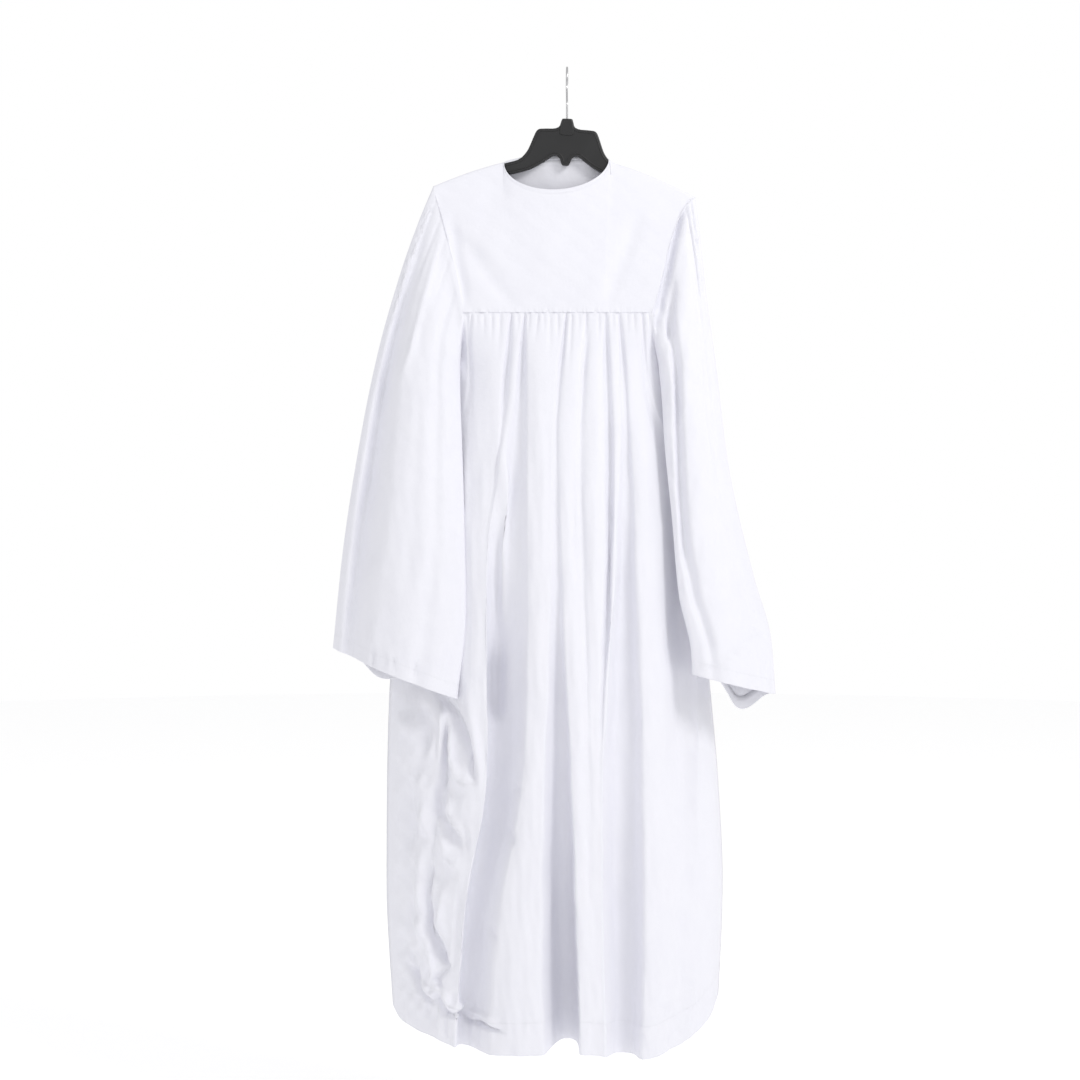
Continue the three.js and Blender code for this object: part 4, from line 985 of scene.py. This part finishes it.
def cloth_material():
    material = bpy.data.materials.new("white_cloth")
    nodes = Nodes(material)
    places = nodes.new("UVMap", uv_map="weave").outputs["UV"]
    bands = (nodes.new("TexWave", bands_direction=direction, Vector=places, Scale=BAND / THREAD,
                       Distortion=0.6, Detail=1).outputs["Fac"] for direction in "XY")
    weave = nodes.math("MULTIPLY", nodes.math("ADD", *bands), 0.5)
    stretched = nodes.new("Mapping", Vector=places, Scale=(60, 420, 1)).outputs[0]
    slub = nodes.noise(stretched, 1)
    objects = nodes.new("TexCoord").outputs["Object"]
    crush = nodes.noise(objects, 26, 3, 0.55)
    fine = nodes.noise(objects, 130)
    normal = nodes.bump(crush, 0.004, 0.35)
    for height, distance, strength in ((fine, 0.0008, 0.25), (slub, 0.0003, 0.3), (weave, 0.00012, 0.5),
                                       (stitches(nodes), 0.0005, 0.6)):
        normal = nodes.bump(height, distance, strength, Normal=normal)
    nodes.plug(nodes.shader, Base_Color=nodes.shades(crush, (0.79, 0.79, 0.853), (0.82, 0.82, 0.873)),
               Roughness=nodes.math("MULTIPLY_ADD", fine, 0.1, 0.74), Normal=normal,
               Sheen_Weight=0.12, Sheen_Roughness=0.5, Specular_IOR_Level=0.3)
    return material


def hard_material(name, scales, dark, light, rough, bump, metallic):
    """Plastic or steel, with a fine grain, and a cloud that its colour and roughness follow."""
    material = bpy.data.materials.new(name)
    nodes = Nodes(material)
    objects = nodes.new("TexCoord").outputs["Object"]
    grain, cloud = (nodes.noise(objects, scale) for scale in scales)
    nodes.plug(nodes.shader, Base_Color=nodes.shades(cloud, dark, light), Metallic=metallic,
               Roughness=nodes.math("MULTIPLY_ADD", cloud, *rough), Normal=nodes.bump(grain, *bump))
    return material


# ---- stage
def area_light(name, light):
    lamp = bpy.data.lights.new(name, "AREA")
    lamp.shape = "DISK"
    lamp.size = light.size
    lamp.energy = light.power
    lamp.color = light.colour
    thing = linked(name, lamp, light.place)
    thing.rotation_euler = (Vector(LIT_PLACE) - thing.location).to_track_quat("-Z", "Y").to_euler()


def make_world():
    """White all round, and a little less of it falls on the object as soft light."""
    world = bpy.data.worlds.new("studio")
    nodes = Nodes(world, "Background")
    seen = nodes.new("LightPath").outputs["Is Camera Ray"]
    strength = nodes.new("MapRange", Value=seen, To_Min=AMBIENT, To_Max=1).outputs["Result"]
    nodes.plug(nodes.shader, Color=(1, 1, 1, 1), Strength=strength)
    bpy.context.scene.world = world


def make_stage():
    make_world()
    material = bpy.data.materials.new("studio_floor")
    nodes = Nodes(material)
    nodes.plug(nodes.shader, Base_Color=(0.93, 0.93, 0.935, 1), Roughness=0.9, Emission_Color=(1, 1, 1, 1),
               Emission_Strength=FLOOR.glow)
    bpy.ops.mesh.primitive_circle_add(vertices=96, radius=FLOOR.radius, fill_type="NGON",
                                      location=(0, 0, FLOOR.height))
    floor = bpy.context.object
    floor.name = "studio_floor"
    floor.data.materials.append(material)
    for name, light in LIGHTS.items():
        area_light(name, light)


def make_camera():
    camera = bpy.data.cameras.new("camera")
    camera.sensor_width = CAMERA.sensor
    camera.lens = CAMERA.lens
    camera.clip_end = CAMERA.sees_to
    thing = linked("camera", camera, CAMERA.place)
    thing.rotation_euler = (math.radians(90), 0, 0)
    bpy.context.scene.camera = thing


# ---- the scene
def finish_piece(piece, material, slot, *nodes):
    """Gives a piece its material, puts it under the root body, and hides the CAD nodes it stands in for."""
    piece.data.materials.append(material)
    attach(piece, "root")
    if nodes:
        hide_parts(*nodes)


bpy.context.scene.view_settings.view_transform = "Standard"
make_camera()
make_stage()

cloth = cloth_material()
front_skirt = make_skirt("robe_front_skirt", FRONT_FOLDS, FRONT_GATHERS, FRONT_CREASES, 1, FINE, 11)
back_skirt = make_skirt("robe_back_skirt", BACK_FOLDS, BACK_GATHERS, BACK_CREASES, -1, PLAIN, 21)
front_yoke = make_yoke("robe_front_yoke", FRONT_YOKE_CREASES, 1, 31)
back_yoke = make_yoke("robe_back_yoke", BACK_YOKE_CREASES, -1, 41)
left_sleeve = make_sleeve("robe_left_sleeve", "left", 51)
right_sleeve = make_sleeve("robe_right_sleeve", "right", 61)
for piece, *nodes in (
    (front_skirt, "front_skirt"), (back_skirt, "back_skirt"),
    (front_yoke, "front_yoke"), (back_yoke, "back_yoke"),
    (left_sleeve, "left_sleeve_front", "left_sleeve_back"),
    (right_sleeve, "right_sleeve_front", "right_sleeve_back"),
):
    finish_piece(piece, cloth, "white_cloth", *nodes)

plastic = hard_material("hanger_plastic", (900, 22), (0.011, 0.011, 0.012), (0.017, 0.017, 0.018),
                        (0.14, 0.34), (0.0002, 0.25), 0)
hanger_pieces = make_hanger()
for piece in hanger_pieces:
    finish_piece(piece, plastic, "hanger_plastic")
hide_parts("hanger_body")
steel = hard_material("hook_steel", (300, 300), (0.52, 0.52, 0.53), (0.64, 0.64, 0.65), (0.08, 0.24),
                      (0.00003, 0.15), 1)
finish_piece(make_hook(), steel, "hook_steel", "hanger_hook")
